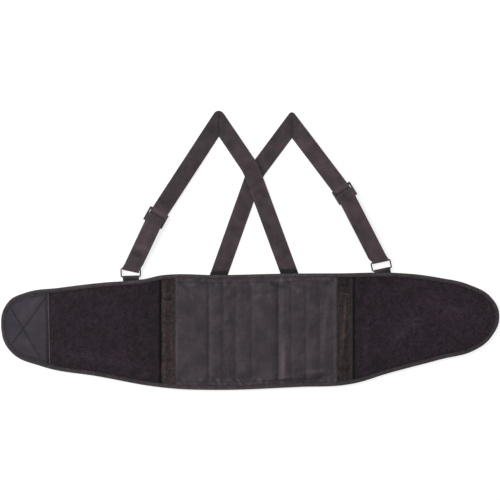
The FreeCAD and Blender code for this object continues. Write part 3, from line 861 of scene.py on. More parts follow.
def panel_face():
    """The smooth inner face of the back panel, stitched down into four stay channels."""
    x0, x1 = PANEL_ENDS[0] - SEAM_LAP, PANEL_ENDS[1] + SEAM_LAP
    cloth = belt_grid("panel_inner_face", x0, x1, COVER_INSET - 0.3 * MM, 2.6 * MM)
    points = coords(cloth)
    x, y = points[:, 0].copy(), points[:, 1].copy()
    low, high = span(inset(COVER_INSET), x)
    to_edge = np.maximum(edge_distance(y, low, high), 0)
    to_side = edge_distance(x, x0, x1)
    to_seam = np.abs(x[:, None] - CHANNEL_SEAMS[None, :]).min(axis=1)
    on_seam = (to_seam < 1.35 * MM) & (to_edge > 10 * MM)
    points[:, 2] = 5.5 * MM + 0.15 * MM * soft_noise(x, y, 20 * MM, 5.0)
    points[:, 2] -= 0.5 * MM * (1 - ramp(to_seam, 0, 4 * MM)) * ramp(to_edge, 6 * MM, 12 * MM)
    set_coords(cloth, points)
    held = on_seam | (to_edge < 2.0 * MM) | (to_side < 2.0 * MM)
    fill_out(cloth, held, 1.6, 0.022, 1.5 * MM, 6.0, 0.12)
    points = coords(cloth)
    points[:, 2] += creases(x, y, PANEL_FOLDS)
    hem = ramp(to_edge, 6.5 * MM, 8 * MM) * (1 - ramp(to_edge, 8 * MM, 10.5 * MM))
    points[:, 2] -= 0.5 * MM * hem
    points[:, 2] -= 0.7 * MM * (1 - ramp(to_edge, 0, 4 * MM)) + 1.2 * MM * (1 - ramp(to_side, 0, 3.5 * MM))
    over = stay_cover(x, y)
    points[:, 2] = np.clip(points[:, 2], 4.85 * MM, 7.6 * MM)
    points[:, 2] = np.maximum(points[:, 2], (4.85 + 1.3 * over) * MM)
    set_coords(cloth, points)
    # Painted shade along the hems, the edges and the channel seams, mottled painted shade and highlight on
    # the hem puckers, a painted highlight on one side of each seam, on a raised band and beside the right
    # gusset, painted shade and highlight along the creases, and random tone.
    folds = 0.12 * soft_noise(x, y * 0.3, 12 * MM, 31.0) + 0.45 * hem + 0.25 * (1 - ramp(to_edge, 0, 3 * MM))
    in_hem = 1 - ramp(to_edge, 10 * MM, 18 * MM)
    folds += 0.75 * in_hem * soft_noise(x + 0.5 * y, y * 0.5, 6 * MM, 14.0)
    for seam, depth in zip(CHANNEL_SEAMS, SEAM_DEPTHS):
        beside = x - seam
        uneven = 0.75 + 0.5 * soft_noise(np.full(len(y), seam), y, 30 * MM, 6.0)
        folds += depth * uneven * np.exp(-(beside / (1.7 * MM)) ** 2) * ramp(to_edge, 7 * MM, 12 * MM)
        folds -= 0.27 * depth * uneven * np.exp(-((beside - 7 * MM) / (4.5 * MM)) ** 2)
        folds += 0.2 * depth * uneven * np.exp(-((beside + 6 * MM) / (4 * MM)) ** 2)
    # painted highlight on a raised band of the panel
    lifted = ramp(-y, 185 * MM, 205 * MM) * (1 - ramp(-y, 246 * MM, 256 * MM))
    folds -= 0.26 * lifted * np.exp(-((x - 67 * MM) / (9 * MM)) ** 4)
    folds -= 0.35 * ramp(to_side, 3 * MM, 5 * MM) * (1 - ramp(to_side, 5 * MM, 10 * MM)) * (x > 0)
    paint_fold_shading(cloth, folds - 0.62 / MM * creases(x, y, PANEL_FOLDS))
    finish_sheet(cloth, 0.75 * MM, 4.06 * MM, "inner_nylon")
    return cloth


def gusset(side):
    """Ribbed elastic let into the belt beside the panel, lower than its neighbours."""
    x0, x1 = LEFT_GUSSET if side == "left" else RIGHT_GUSSET
    cloth = belt_grid(f"{side}_gusset_elastic", x0 + 0.1 * MM, x1 - 0.1 * MM, CORE_INSET, 1.6 * MM)
    points = coords(cloth)
    x, y = points[:, 0].copy(), points[:, 1].copy()
    to_side = edge_distance(x, x0, x1)
    low, high = span(inset(COVER_INSET), x)
    inside = ramp(edge_distance(y, low, high), 0, 5 * MM)
    points[:, 2] = 3.1 * MM + inside * 0.25 * MM * soft_noise(x * 0.3, y, 4 * MM, 9.0)
    set_coords(cloth, points)
    held = (to_side < 1.7 * MM) | (inside < 0.2)
    fill_out(cloth, held, 0.8, 0.03, 1.3 * MM, 6.0, 0.05)
    points = coords(cloth)
    shirr = np.sin(y * 2 * math.pi / 0.0042 + 2.0 * soft_noise(x, y, 14 * MM, 4.0))
    points[:, 2] += inside * 0.22 * MM * shirr * ramp(to_side, 1 * MM, 6 * MM)
    marks = [(-163, -98, 4, 16, 3.2, -1.0), (-165, -132, -6, 14, 3, -0.8), (-163, -220, 5, 16, 3.4, -0.9),
             (-166, -176, 3, 12, 2.6, -0.5)] if side == "left" else [
             (190, -70, 8, 14, 4, -0.9), (190, -88, -10, 14, 3, 0.8), (188, -150, 86, 70, 4, 0.9),
             (192, -240, 6, 14, 4, -0.6)]
    points[:, 2] += inside * creases(x, y, marks)
    points[:, 2] = np.clip(points[:, 2], 2.0 * MM, np.where(inside > 0.5, 4.6, 3.3) * MM)
    set_coords(cloth, points)
    # Painted shade in the recessed strips along the sides and a painted highlight beside them, painted shade
    # and highlight on the shirring and the creases, random tone, the right gusset darker overall and both
    # darker towards the top.
    folds = 0.9 * (1 - ramp(to_side, 1.2 * MM, 4 * MM)) - 0.3 * np.exp(-((to_side - 7 * MM) / (2 * MM)) ** 2)
    overall_darkening, top_darkening = (0.04, 0.15) if side == "left" else (0.22, 0.45)
    folds += inside * (0.14 * shirr + 0.42 * soft_noise(x, y, 6 * MM, 17.0)) + overall_darkening
    near_top = (1 - ramp(edge_distance(y, low, high), 6 * MM, 45 * MM)) * (y > STAY_MIDDLE_Y)
    folds += top_darkening * near_top * (1 + soft_noise(x, y, 9 * MM, 23.0))
    paint_fold_shading(cloth, folds - 0.9 / MM * creases(x, y, marks))
    finish_sheet(cloth, 1.4 * MM, 1.0 * MM, "elastic_gusset")
    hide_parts(f"{side}_gusset")
    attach(cloth, "back_panel")
    return cloth


def belt_area(x0, x1, distance):
    """Flat area of the belt between two X values."""
    x = np.linspace(max(x0, -TIP), min(x1, TIP), 400)
    low, high = span(inset(distance), x)
    return float(np.mean(high - low) * (x[-1] - x[0])), float(x[-1] - x[0])


def declare_face(x0, x1):
    """Works out the flat area and length of a face of the belt, which are not kept."""
    area, length = belt_area(x0, x1, COVER_INSET)


# ---- swept pieces: binding, webbing, stitches ----------------------------------------------------

def sweep(name, rings, along, around):
    """Skins a row of closed section rings, ends too. along and around are the UV lengths."""
    count, size = len(rings), len(rings[0])
    points = np.concatenate(rings)
    faces, uvs = [], []
    for i in range(count - 1):
        for j in range(size):
            k = (j + 1) % size
            a, b = i * size, (i + 1) * size
            faces.append((a + j, b + j, b + k, a + k))
            v0, v1 = around[j], around[j + 1]
            uvs += [(along[i], v0), (along[i + 1], v0), (along[i + 1], v1), (along[i], v1)]
    faces.append(tuple(range(size)))
    uvs += [(along[0], around[j]) for j in range(size)]
    last = (count - 1) * size
    faces.append(tuple(last + j for j in reversed(range(size))))
    uvs += [(along[-1], around[j]) for j in reversed(range(size))]
    piece = from_arrays(name, points, faces, uvs)
    shell = bmesh.new()
    shell.from_mesh(piece.data)
    bmesh.ops.recalc_face_normals(shell, faces=shell.faces)
    shell.to_mesh(piece.data)
    shell.free()
    return piece


BINDING_SECTION = MM * np.array([
    (8.0, 0.05), (3.5, 0.0), (1.4, 0.0), (0.45, 0.45), (0.0, 1.3), (0.0, 3.3), (0.4, 4.2), (1.3, 4.75),
    (3.4, 4.9), (6.6, 4.85), (7.9, 4.7), (8.1, 4.2), (7.6, 3.8), (3.4, 3.75), (1.7, 3.65), (1.15, 3.1),
    (1.1, 1.5), (1.6, 0.98), (3.5, 0.9), (8.0, 0.85)])


def binding(name, first, last):
    """Binding tape folded over the belt's edge, between two places along its outline."""
    line, into = EDGE, inward(EDGE)
    steps = np.arange(first, last + 1) % len(line)
    along = run_length(line[steps])
    rings = []
    for step, s in zip(steps, along):
        wobble = 0.35 * MM * noise.noise(Vector((s / 0.012, 0.0, first * 0.37)))
        swell = 0.16 * MM * noise.noise(Vector((s / 0.006, 5.0, first * 0.37)))
        stitch = 0.10 * MM * math.cos(2 * math.pi * s / 0.0038)
        depth, height = BINDING_SECTION[:, 0].copy(), BINDING_SECTION[:, 1].copy()
        depth += np.where(depth > 6 * MM, wobble, 0)
        upper = height > 3.5 * MM
        height += np.where(upper & (depth > 1 * MM), swell, 0)
        sewn = np.exp(-((depth - 5.6 * MM) / (1.3 * MM)) ** 2)
        height -= np.where(upper, sewn * (0.22 * MM + stitch), 0)
        where = line[step] + into[step] * depth[:, None]
        push = room_below(where[:, 0], where[:, 1])
        height = push + height * (1 - push / (4.9 * MM))
        rings.append(np.column_stack([where, height]))
    around = run_length(np.vstack([BINDING_SECTION, BINDING_SECTION[:1]]))
    tape = sweep(name, rings, along, around)
    smooth_shading(tape, 60)
    paint_fold_shading(tape, binding_shade_and_tone(coords(tape), np.repeat(along, len(BINDING_SECTION)),
                                   np.tile(BINDING_SECTION[:, 0], len(rings)), first))
    dress(tape, "binding_tape")
    return tape


def binding_shade_and_tone(points, along, depth, seed):
    """Mottled tone, darker on the wings, with painted shade along the binding's outer fold, at its inner
    edges and in the dents beside its stitches.
    """
    x = points[:, 0]
    folds = 0.5 * soft_noise(along, depth, 2.6 * MM, seed * 0.1) + 0.3 * soft_noise(along, depth, 9 * MM, 3.0)
    folds += 0.22 * ramp(np.abs(x + 0.01), 165 * MM, 215 * MM)
    # painted shade along the outer fold and at the inner edges
    folds += 0.8 * (1 - ramp(depth, 0.5 * MM, 1.6 * MM)) + 0.7 * ramp(depth, 7 * MM, 8 * MM)
    # painted shade in the dents beside the stitches
    beside_stitches = np.exp(-((depth - 5.6 * MM) / (1.2 * MM)) ** 2)
    folds += 0.45 * beside_stitches * (1 + np.cos(2 * math.pi * along / 0.0076))
    return folds


def place_on_edge(x, top):
    """Index along the outline at an X, on its top or bottom edge."""
    half = inward(EDGE)[:, 1] < 0 if top else inward(EDGE)[:, 1] > 0
    distance = np.where(half, np.abs(EDGE[:, 0] - x), 9.0)
    return int(distance.argmin())


def one_stitch():
    """A single stitch: a short flattened thread, along X."""
    ring = [(math.cos(a), math.sin(a)) for a in np.linspace(0, 2 * math.pi, 6, endpoint=False)]
    sections = [(-0.5, 0.35, -0.35), (-0.28, 0.9, 0.05), (0.28, 0.9, 0.05), (0.5, 0.35, -0.35)]
    points = np.array([(x, r * c, r * s + lift) for x, r, lift in sections for c, s in ring])
    faces = [(i * 6 + j, (i + 1) * 6 + j, (i + 1) * 6 + (j + 1) % 6, i * 6 + (j + 1) % 6)
             for i in range(3) for j in range(6)]
    faces += [tuple(reversed(range(6))), tuple(range(18, 24))]
    return points, faces


def stitches(name, paths, material, pitch=3.6 * MM, share=0.68, radius=0.28 * MM, zigzag=0.0):
    """Rows of stitches along paths of 3-D points, as one piece."""
    shape, faces = one_stitch()
    all_points, all_faces = [], []
    for path in paths:
        path = np.asarray(path, float)
        along = run_length(path)
        count = max(2, int(along[-1] / pitch))
        ends = np.stack([np.interp(np.linspace(0, along[-1], count + 1), along, path[:, k])
                         for k in range(3)], axis=1)
        if zigzag:
            run = np.gradient(ends[:, :2], axis=0)
            run /= np.linalg.norm(run, axis=1, keepdims=True)
            offset = np.where(np.arange(count + 1) % 2, zigzag, -zigzag)[:, None]
            ends[:, :2] += np.stack([-run[:, 1], run[:, 0]], axis=1) * offset
        for a, b in zip(ends, ends[1:]):
            run = b - a
            length = np.linalg.norm(run)
            run = run / length
            across = np.array([-run[1], run[0], 0])
            across /= np.linalg.norm(across)
            up = np.cross(run, across)
            middle = (a + b) / 2
            placed = (middle + np.outer(shape[:, 0] * length * share, run)
                      + np.outer(shape[:, 1] * radius, across) + np.outer(shape[:, 2] * radius, up))
            start = len(all_points) * len(shape)
            all_points.append(placed)
            all_faces += [tuple(start + i for i in f) for f in faces]
    piece = from_arrays(name, np.concatenate(all_points), all_faces)
    smooth_shading(piece, 80)
    piece.data.materials.append(material)
    return piece


def on_surface(piece, x, y, lift=0.1 * MM):
    """Points on a piece's upper face under each X and Y."""
    mesh = piece.data
    tree = BVHTree.FromPolygons([v.co for v in mesh.vertices], [p.vertices for p in mesh.polygons])
    points = []
    for a, b in zip(x, y):
        hit = tree.ray_cast(Vector((a, b, 0.1)), Vector((0, 0, -1)))[0]
        if hit is not None:
            points.append((a, b, hit.z + lift))
    return np.array(points)


# ---- webbing -------------------------------------------------------------------------------------

def rounded(values, window):
    """A row of values with its corners rounded and its two ends kept."""
    values = np.asarray(values, float)
    before = values[:1] + (values[:1] - values[1:window + 1][::-1])
    after = values[-1:] + (values[-1:] - values[-window - 1:-1][::-1])
    padded = np.concatenate([before, values, after])
    kernel = np.ones(2 * window + 1) / (2 * window + 1)
    return np.stack([np.convolve(padded[:, k], kernel, "valid") for k in range(values.shape[1])], axis=1)


def station_rings(left, right, up, thickness=STRAP_THICK, cells=10):
    """Section rings of webbing from its two lower edge lines and its upward vectors."""
    t = np.linspace(0, 1, cells + 1)
    crown = 1 - np.abs(2 * t - 1) ** 8
    top, foot = thickness * (0.72 + 0.28 * crown), thickness * 0.22 * (1 - crown)
    rings = []
    for a, b, n in zip(left, right, up):
        line = a + np.outer(t, b - a)
        lower, upper = line + np.outer(foot, n), line + np.outer(top, n)
        rings.append(np.vstack([lower, upper[::-1]]))
    width = np.concatenate([t, t[::-1], t[:1]]) * STRAP_WIDTH
    return rings, width


def strap_edges(route, first, last, trim=None):
    """Corner points of a strap's edges between two bends of its route, cut off at a line if one is given."""
    edges, runs = mitred_edges(route, STRAP_WIDTH)
    left, right = (line[first:last + 1].copy() for line in edges)
    if trim is not None:
        for line in (left, right):
            line[-1] = meeting(line[-1], runs[last - 1], *trim)
    return left, right


def sampled(left, right, step=3 * MM, window=4):
    """Even samples along the two edges of a strap, with rounded bends, and the distance along it."""
    lefts, rights, distances, start = [], [], [], 0.0
    for a, b, c, d in zip(left, left[1:], right, right[1:]):
        length = np.linalg.norm((b + d) / 2 - (a + c) / 2)
        count = max(2, int(length / step))
        t = np.linspace(0, 1, count, endpoint=False)[:, None]
        lefts.append(a + t * (b - a))
        rights.append(c + t * (d - c))
        distances.append(start + t[:, 0] * length)
        start += length
    lefts = rounded(np.vstack(lefts + [left[-1:]]), window)
    rights = rounded(np.vstack(rights + [right[-1:]]), window)
    return lefts, rights, np.concatenate(distances + [[start]]), start


def with_height(line, z):
    """Adds Z to a row of plan points."""
    return np.column_stack([line, z])


def trim_tip(line, side):
    """Rounds off a strap's corner where the shoulder seam is trimmed."""
    top, soft = SHOULDER_TOP[side], (6.5 * MM if side == "left" else 2.5 * MM)
    over = np.maximum(line[:, 1] - top + soft, 0)
    line[:, 1] = np.minimum(line[:, 1], top - soft) + soft * (1 - np.exp(-over / soft)) * (over > 0)


def lay_of(s, seed):
    """Small lifts of webbing that doesn't lie perfectly flat."""
    return np.array([0.35 * MM * max(0.0, noise.noise(Vector((a / 0.05, seed, 0.0))))
                     + 0.10 * MM * max(0.0, noise.noise(Vector((a / 0.013, seed, 4.0)))) for a in s])


def webbing(name, left, right, up, along):
    """A piece of strap webbing from its edge lines."""
    rings, width = station_rings(left, right, up)
    piece = sweep(name, rings, along, width)
    smooth_shading(piece, 50)
    paint_fold_shading(piece, strap_shade_and_tone(coords(piece), name))
    dress(piece, "strap_webbing")
    return piece


def strap_shade_and_tone(points, name):
    """Painted shade on a strap where it turns under the belt's edge, beside the strap that crosses over it,
    at the slider's fold and along one edge of a return run, with a painted highlight above that fold, painted
    shade and highlight on a crease, a darker shoulder seam and random tone.
    """
    side, run = name.split("_")[:2]
    x, y = points[:, 0], points[:, 1]
    folds = 0.25 * soft_noise(x, y, 22 * MM, 2.0) + 0.15 * soft_noise(x, y, 8 * MM, 5.0)
    shoulder = STRAP_ROUTE[side][2]
    near_top = ramp(y, shoulder[1] - 40 * MM, shoulder[1] - 20 * MM)
    folds += near_top * (0.6 * np.exp(-((x - shoulder[0]) / (1.8 * MM)) ** 2) + 0.15)
    if run == "back":
        # painted shadow where the strap turns under the belt's edge
        above = y - fold_y(x)
        folds += 1.2 * (1 - ramp(above, 4.5 * MM, 9 * MM))
        # painted shadow of the left strap on the right one beside the crossing
        other = STRAP_ROUTE["left"]
        if side == "right":
            for a, b in zip(other[:2], other[1:3]):
                _, aside = ahead_and_aside(x, y, a, direction(a, b))
                outside = np.maximum(np.abs(aside) - STRAP_WIDTH / 2, 0)
                folds += 0.4 * np.exp(-(outside / (5 * MM)) ** 2)
    if run == "front":
        bend = slider_point(side, 0, 0)
        ahead, _ = ahead_and_aside(x, y, bend, slider_point(side, 0, 1) - bend)
        # painted shade in the slider's fold and a painted highlight just above it
        folds += 0.95 * ramp(ahead, -2 * MM, 1 * MM) * (1 - ramp(ahead, 3.5 * MM, 7 * MM))
        folds -= 0.45 * np.exp(-((ahead - 12 * MM) / (5 * MM)) ** 2)
        folds += (0.2 if side == "left" else -0.1) * ramp(ahead, 10 * MM, 40 * MM)
    if run == "return":
        folds -= 0.12
        if side == "left":
            # painted shade and highlight on a crease of the left return run
            folds += creases(x, y, [(-219, -11, -25, 20, 5, 0.55), (-212, 4, -25, 20, 6, -0.35)]) / MM
        else:
            # painted shade along one edge of the right return run
            bend, ring_end = STRAP_ROUTE[side][3:5]
            run = direction(bend, ring_end)
            ahead, aside = ahead_and_aside(x, y, bend, run)
            near_edge = ramp(aside * np.sign(run[1]), 13 * MM, 16 * MM)
            folds += 0.9 * near_edge * ramp(ahead, 105 * MM, 125 * MM)
    return folds


def height_at(s, marks, window=5):
    """Heights along a strap from a few marks, with soft changes."""
    z = np.interp(s, [m[0] for m in marks], [m[1] for m in marks])
    return rounded(z[:, None], window)[:, 0]


UP = np.array([0.0, 0.0, 1.0])


def strap_back(side):
    """The back run: sewn under the belt, over or under the other strap, up to the shoulder."""
    route = STRAP_ROUTE[side].copy()
    run = direction(route[0], route[1])
    reach = 32 * MM
    route[0] = route[0] - run * reach
    left, right = strap_edges(route, 0, 2)
    lefts, rights, s, length = sampled(left, right)
    crossing = OVER_Z if side == "left" else TABLE_Z
    first = np.linalg.norm(route[1] - route[0])
    lying = reach + 0.35 * (first - reach)
    marks = [(0, 0.12 * MM), (reach, 0.15 * MM), (lying, TABLE_Z), (first - 60 * MM, crossing),
             (first + 35 * MM, crossing), (length - 35 * MM, TABLE_Z), (length, TABLE_Z)]
    z = height_at(s, marks)
    free = ramp(s, reach + 10 * MM, reach + 40 * MM)
    if side == "right":
        free = free * ramp(np.abs(s - first), 50 * MM, 75 * MM)
    z = z + lay_of(s, 1.0 if side == "left" else 2.0) * free
    for line in (lefts, rights):
        trim_tip(line, side)
    piece = webbing(f"{side}_back_webbing", with_height(lefts, z), with_height(rights, z),
                    np.tile(UP, (len(s), 1)), s)
    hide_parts(f"{side}_strap_anchor", f"{side}_strap_back")
    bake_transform(piece)
    return piece


def ring_point(side, x, y):
    """A point given in a ring's own frame, in plan."""
    ring_x, turn = RING_PLACE[side]
    return turned((ring_x, fold_y(ring_x)), turn, x, y)


RING_LEG = RING_HEIGHT + 1.6 * MM                    # where webbing leaves the ring's upper bar
LOOP_RADIUS, LOOP_HALF_WIDTH = 2.6 * MM, 16.5 * MM   # of the webbing round that bar
SLIDER_HALF_WIDTH = 17.4 * MM                        # of the webbing in the slider
FOLD_TURNS = [math.radians(angle) for angle in np.linspace(90, -90, 9)[1:]]     # round the slider's bar
LOOP_DROOP = {"left": 8.0 * MM, "right": 0.0}


def droop(side, x):
    """How far the slack loop of a strap hangs into its ring, more towards one end."""
    return LOOP_DROOP[side] * (x / (33 * MM) + 0.5)


def strap_front(side):
    """The front run: shoulder to slider to ring, and round the ring's upper bar."""
    route = STRAP_ROUTE[side]
    across = ring_point(side, 1, 0) - ring_point(side, 0, 0)
    left, right = strap_edges(route, 2, 4, (ring_point(side, 0, RING_LEG + 7 * MM), across))
    lefts, rights, s, length = sampled(left, right)
    first = np.linalg.norm(route[3] - route[2])
    marks = [(0, TABLE_Z), (22 * MM, TABLE_Z), (52 * MM, RAISED_Z), (first + 20 * MM, RAISED_Z),
             (length - 4 * MM, FOLD_Z - LOOP_RADIUS), (length, FOLD_Z - LOOP_RADIUS)]
    z = height_at(s, marks)
    for line in (lefts, rights):
        trim_tip(line, side)
    lefts, rights = with_height(lefts, z), with_height(rights, z)
    ups = np.tile(UP, (len(s), 1))
    loop_left, loop_right, loop_up, loop_s = [], [], [], []
    swap = -1 if across @ (lefts[-1] - rights[-1])[:2] > 0 else 1
    halves = (-LOOP_HALF_WIDTH * swap, LOOP_HALF_WIDTH * swap)
    for angle in np.linspace(-90, -270, 13):
        turn = math.radians(angle)
        y, dz = RING_HEIGHT + LOOP_RADIUS * math.cos(turn), LOOP_RADIUS * math.sin(turn)
        for half, row in zip(halves, (loop_left, loop_right)):
            row.append((*ring_point(side, half, y - droop(side, half)), FOLD_Z + dz))
        inwards = ring_point(side, 0, RING_HEIGHT) - ring_point(side, 0, y)
        loop_up.append(np.array([*inwards, -dz]) / LOOP_RADIUS)
        loop_s.append(length + 8 * MM + 2 * MM * math.radians(-90 - angle))
    ends = [(half, RING_LEG - droop(side, half)) for half in halves]
    low_leg = [(*ring_point(side, *end), FOLD_Z - LOOP_RADIUS) for end in ends]
    top_leg = [(*ring_point(side, *end), FOLD_Z + LOOP_RADIUS) for end in ends]
    lefts = np.vstack([lefts, [low_leg[0]], loop_left, [top_leg[0]]])
    rights = np.vstack([rights, [low_leg[1]], loop_right, [top_leg[1]]])
    ups = np.vstack([ups, [UP], loop_up, [-UP]])
    along = np.concatenate([s, [length + 6.5 * MM], loop_s, [loop_s[-1] + 1.6 * MM]])
    piece = webbing(f"{side}_front_webbing", lefts, rights, ups, along)
    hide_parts(f"{side}_strap_front", f"{side}_strap_lower", f"{side}_strap_ring_loop")
    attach(piece, "suspenders")
    return piece


def slider_point(side, x, y):
    """A point given in a slider's own frame, in plan."""
    return turned(STRAP_ROUTE[side][3], SLIDER_TURN[side] - math.pi / 2, x, y)


def strap_return(side):
    """The doubled-back run: from the ring up over the slider, folded round its centre bar."""
    across = ring_point(side, 1, 0) - ring_point(side, 0, 0)
    level = slider_point(side, 1, 0) - slider_point(side, 0, 0)
    edges, runs = mitred_edges(STRAP_ROUTE[side], STRAP_WIDTH)
    run = runs[3]
    hand = 1 if (edges[0][-1] - edges[1][-1]) @ level < 0 else -1
    forward = slider_point(side, 0, 1) - slider_point(side, 0, 0)
    at_ring, at_slider = FOLD_Z + 1.4 * MM, -17 * MM
    both, crossings = [], []
    for line, half in zip(edges, (-hand, hand)):
        start = meeting(line[-1], run, ring_point(side, 0, RING_LEG + 7 * MM), across)
        crossings.append(start)
        end = meeting(line[-1], run, slider_point(side, 0, at_slider), level)
        if half == -hand:
            t = np.linspace(0, 1, int(np.linalg.norm(end - start) / (3 * MM)))
        loop_half, half = LOOP_HALF_WIDTH * half, SLIDER_HALF_WIDTH * half
        foot = ring_point(side, loop_half, RING_LEG - droop(side, loop_half))
        row = [(*foot, at_ring)]
        for a in t:
            slack = math.sin(math.pi * a) * (0.5 + noise.noise(Vector((a * 4, 2.0, 0))))
            climb = (RETURN_Z - FOLD_Z - 1.4 * MM) * float(ramp(a, 0, 0.8))
            row.append((*(start + a * (end - start)), at_ring + climb + 0.5 * MM * slack))
        row += [(*slider_point(side, half, y * MM), RETURN_Z) for y in (-13, -8, -3, 0.5)]
        for turn in FOLD_TURNS:
            y, z = 1.6 * MM + 0.82 * MM * math.cos(turn), 5.0 * MM + 0.82 * MM * math.sin(turn)
            row.append((*slider_point(side, half, y), z))
        row += [(*slider_point(side, half, y * MM), 4.18 * MM) for y in (-4, -9, -14.5)]
        both.append(np.array(row))
    ups = [UP] * (len(t) + 5)
    ups += [np.array([*(forward * math.cos(turn)), math.sin(turn)]) for turn in FOLD_TURNS]
    ups += [-UP] * 3
    along = run_length((both[0] + both[1]) / 2)
    piece = webbing(f"{side}_return_webbing", *both, np.array(ups), along)
    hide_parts(f"{side}_strap_return", f"{side}_slider_loop")
    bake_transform(piece)
    return piece


def ring_tab(side):
    """Webbing looped round the ring's lower bar, its tail sewn under the belt."""
    half = 16.1 * MM
    lefts, rights, ups = [], [], []

    def add(y, z, up):
        lefts.append((*ring_point(side, -half, y), z))
        rights.append((*ring_point(side, half, y), z))
        ups.append(up)

    for y in (-25.8, -18, -10, -6):
        add(y * MM, 0.22 * MM, UP)
    add(-3.2 * MM, 0.24 * MM, UP)
    forward = ring_point(side, 0, 1) - ring_point(side, 0, 0)
    for angle in np.linspace(-90, 90, 11):
        turn = math.radians(angle)
        add(2.5 * MM * math.cos(turn), FOLD_Z + 2.5 * MM * math.sin(turn),
            np.array([*(-forward * math.cos(turn)), -math.sin(turn)]))
    for y, z in ((-2.2, 4.6), (-4.2, 3.2), (-6.5, 2.05), (-10, 1.98), (-18, 1.98), (-25.8, 1.98)):
        add(y * MM, min(z * MM, 5.3 * MM), -UP)
    lefts, rights = np.array(lefts), np.array(rights)
    rings, width = station_rings(lefts, rights, np.array(ups), 0.85 * MM)
    middle = (lefts + rights) / 2
    along = run_length(middle)
    piece = sweep(f"{side}_tab_webbing", rings, along, width)
    smooth_shading(piece, 50)
    x, y = coords(piece)[:, 0], coords(piece)[:, 1]
    ahead, _ = ahead_and_aside(x, y, ring_point(side, 0, 0), forward)
    # painted shade on the tab where it turns under the belt's edge, with random tone
    paint_fold_shading(piece, 0.85 * (1 - ramp(ahead, -6 * MM, -1.5 * MM)) + 0.2 * soft_noise(x, y, 6 * MM, 3.0))
    dress(piece, "strap_webbing")
    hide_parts(f"{side}_ring_tab")
    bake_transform(piece)
    return piece


def moulded_slider(side):
    """The slider as moulded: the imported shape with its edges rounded."""
    node = bpy.data.objects[f"{side}_slider"]
    piece = bpy.data.objects.new(f"{side}_slider_moulding", node.data.copy())
    bpy.context.collection.objects.link(piece)
    shell = bmesh.new()
    shell.from_mesh(piece.data)
    bmesh.ops.remove_doubles(shell, verts=shell.verts, dist=0.01 * MM)
    bmesh.ops.dissolve_limit(shell, angle_limit=math.radians(1), verts=shell.verts, edges=shell.edges)
    middle, side_way = slider_point(side, 0, 0), slider_point(side, 1, 0) - slider_point(side, 0, 0)
    for vert in shell.verts:
        across = (vert.co.x - middle[0]) * side_way[0] + (vert.co.y - middle[1]) * side_way[1]
        if 18.6 * MM < abs(across) < 19.6 * MM:
            pull = math.copysign(17.7 * MM, across) - across
            vert.co.x += pull * side_way[0]
            vert.co.y += pull * side_way[1]
    shell.to_mesh(piece.data)
    shell.free()
    add_modifier(piece, "BEVEL", width=0.45 * MM, segments=3, limit_method="ANGLE",
                 angle_limit=math.radians(40))
    smooth_shading(piece, 35)
    dress(piece, "slider_plastic")
    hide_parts(f"{side}_slider")
    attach(piece, f"{side}_slider")
    return piece


# ---- the hook patch ------------------------------------------------------------------------------

CROSS_ROWS = MM * np.array([[(-478, -115), (-419, -214)], [(-407, -94), (-473, -185)]])


def hook_patch():
    """The sheet of hook tape that fills the left wing's tip; patch_edge adds its folded inner edge."""
    sheet = belt_grid("hook_tape_sheet", -PAST_THE_TIPS, HOOK_PATCH_END, COVER_INSET + 0.3 * MM, 1.9 * MM)
    points = coords(sheet)
    x, y = points[:, 0].copy(), points[:, 1].copy()
    low, high = span(inset(COVER_INSET + 0.3 * MM), x)
    to_edge = np.maximum(edge_distance(y, low, high), 0)
    points[:, 2] = 5.55 * MM + 0.25 * MM * soft_noise(x, y, 38 * MM, 12.0)
    points[:, 2] -= 0.2 * MM * (1 - ramp(to_edge, 0, 3 * MM))
    # Painted shade in the groove of the border stitching and along the folded inner edge, with random tone.
    folds = 0.22 * soft_noise(x, y, 16 * MM, 40.0) + 0.9 * np.exp(-((to_edge - 3.5 * MM) / (1.5 * MM)) ** 2)
    folds += 0.8 * np.exp(-((x - HOOK_PATCH_END + 2.5 * MM) / (1.6 * MM)) ** 2)
    # painted shade in the grooves of the stitched cross
    for a, b in CROSS_ROWS:
        length = np.linalg.norm(b - a)
        ahead, aside = ahead_and_aside(x, y, a, direction(a, b))
        points[:, 2] -= 0.4 * MM * np.exp(-(aside / (1.6 * MM)) ** 2)
        within = ramp(ahead, -3 * MM, 0) * (1 - ramp(ahead, length, length + 3 * MM))
        folds += 1.15 * within * np.exp(-(aside / (1.5 * MM)) ** 2)
    points[:, 2] = np.maximum(points[:, 2], 5.3 * MM)
    set_coords(sheet, points)
    paint_fold_shading(sheet, folds)
    thicken(sheet, 0.65 * MM)
    smooth_shading(sheet, 60)
    dress(sheet, "hook_tape")
    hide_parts("hook_patch")
    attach(sheet, "left_wing")
    area, length = belt_area(-PAST_THE_TIPS, HOOK_PATCH_END, COVER_INSET)
    return sheet


def patch_edge():
    """The turned and sewn inner edge of the hook patch: a low rounded bead of tape."""
    x = HOOK_PATCH_END + 1.6 * MM
    low, high = (float(v[0]) for v in span(inset(COVER_INSET + 1 * MM), np.array([x])))
    rings, along = [], []
    for y in np.linspace(high, low, 60):
        lean = 0.5 * MM * noise.noise(Vector((y / 0.02, 1.0, 0.0))) - (y - high) * 0.02
        ring = [(x + lean + 1.5 * MM * math.cos(a), y, 5.35 * MM + 0.75 * MM * math.sin(a))
                for a in np.linspace(0, 2 * math.pi, 10, endpoint=False)]
        rings.append(np.array(ring))
        along.append(high - y)
    piece = sweep("hook_tape_fold", rings, along, np.linspace(0, 8 * MM, 11))
    smooth_shading(piece, 60)
    dress(piece, "binding_tape")
    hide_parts("hook_patch_edge")
    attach(piece, "left_wing")
    return piece


# ---- putting the belt together -------------------------------------------------------------------

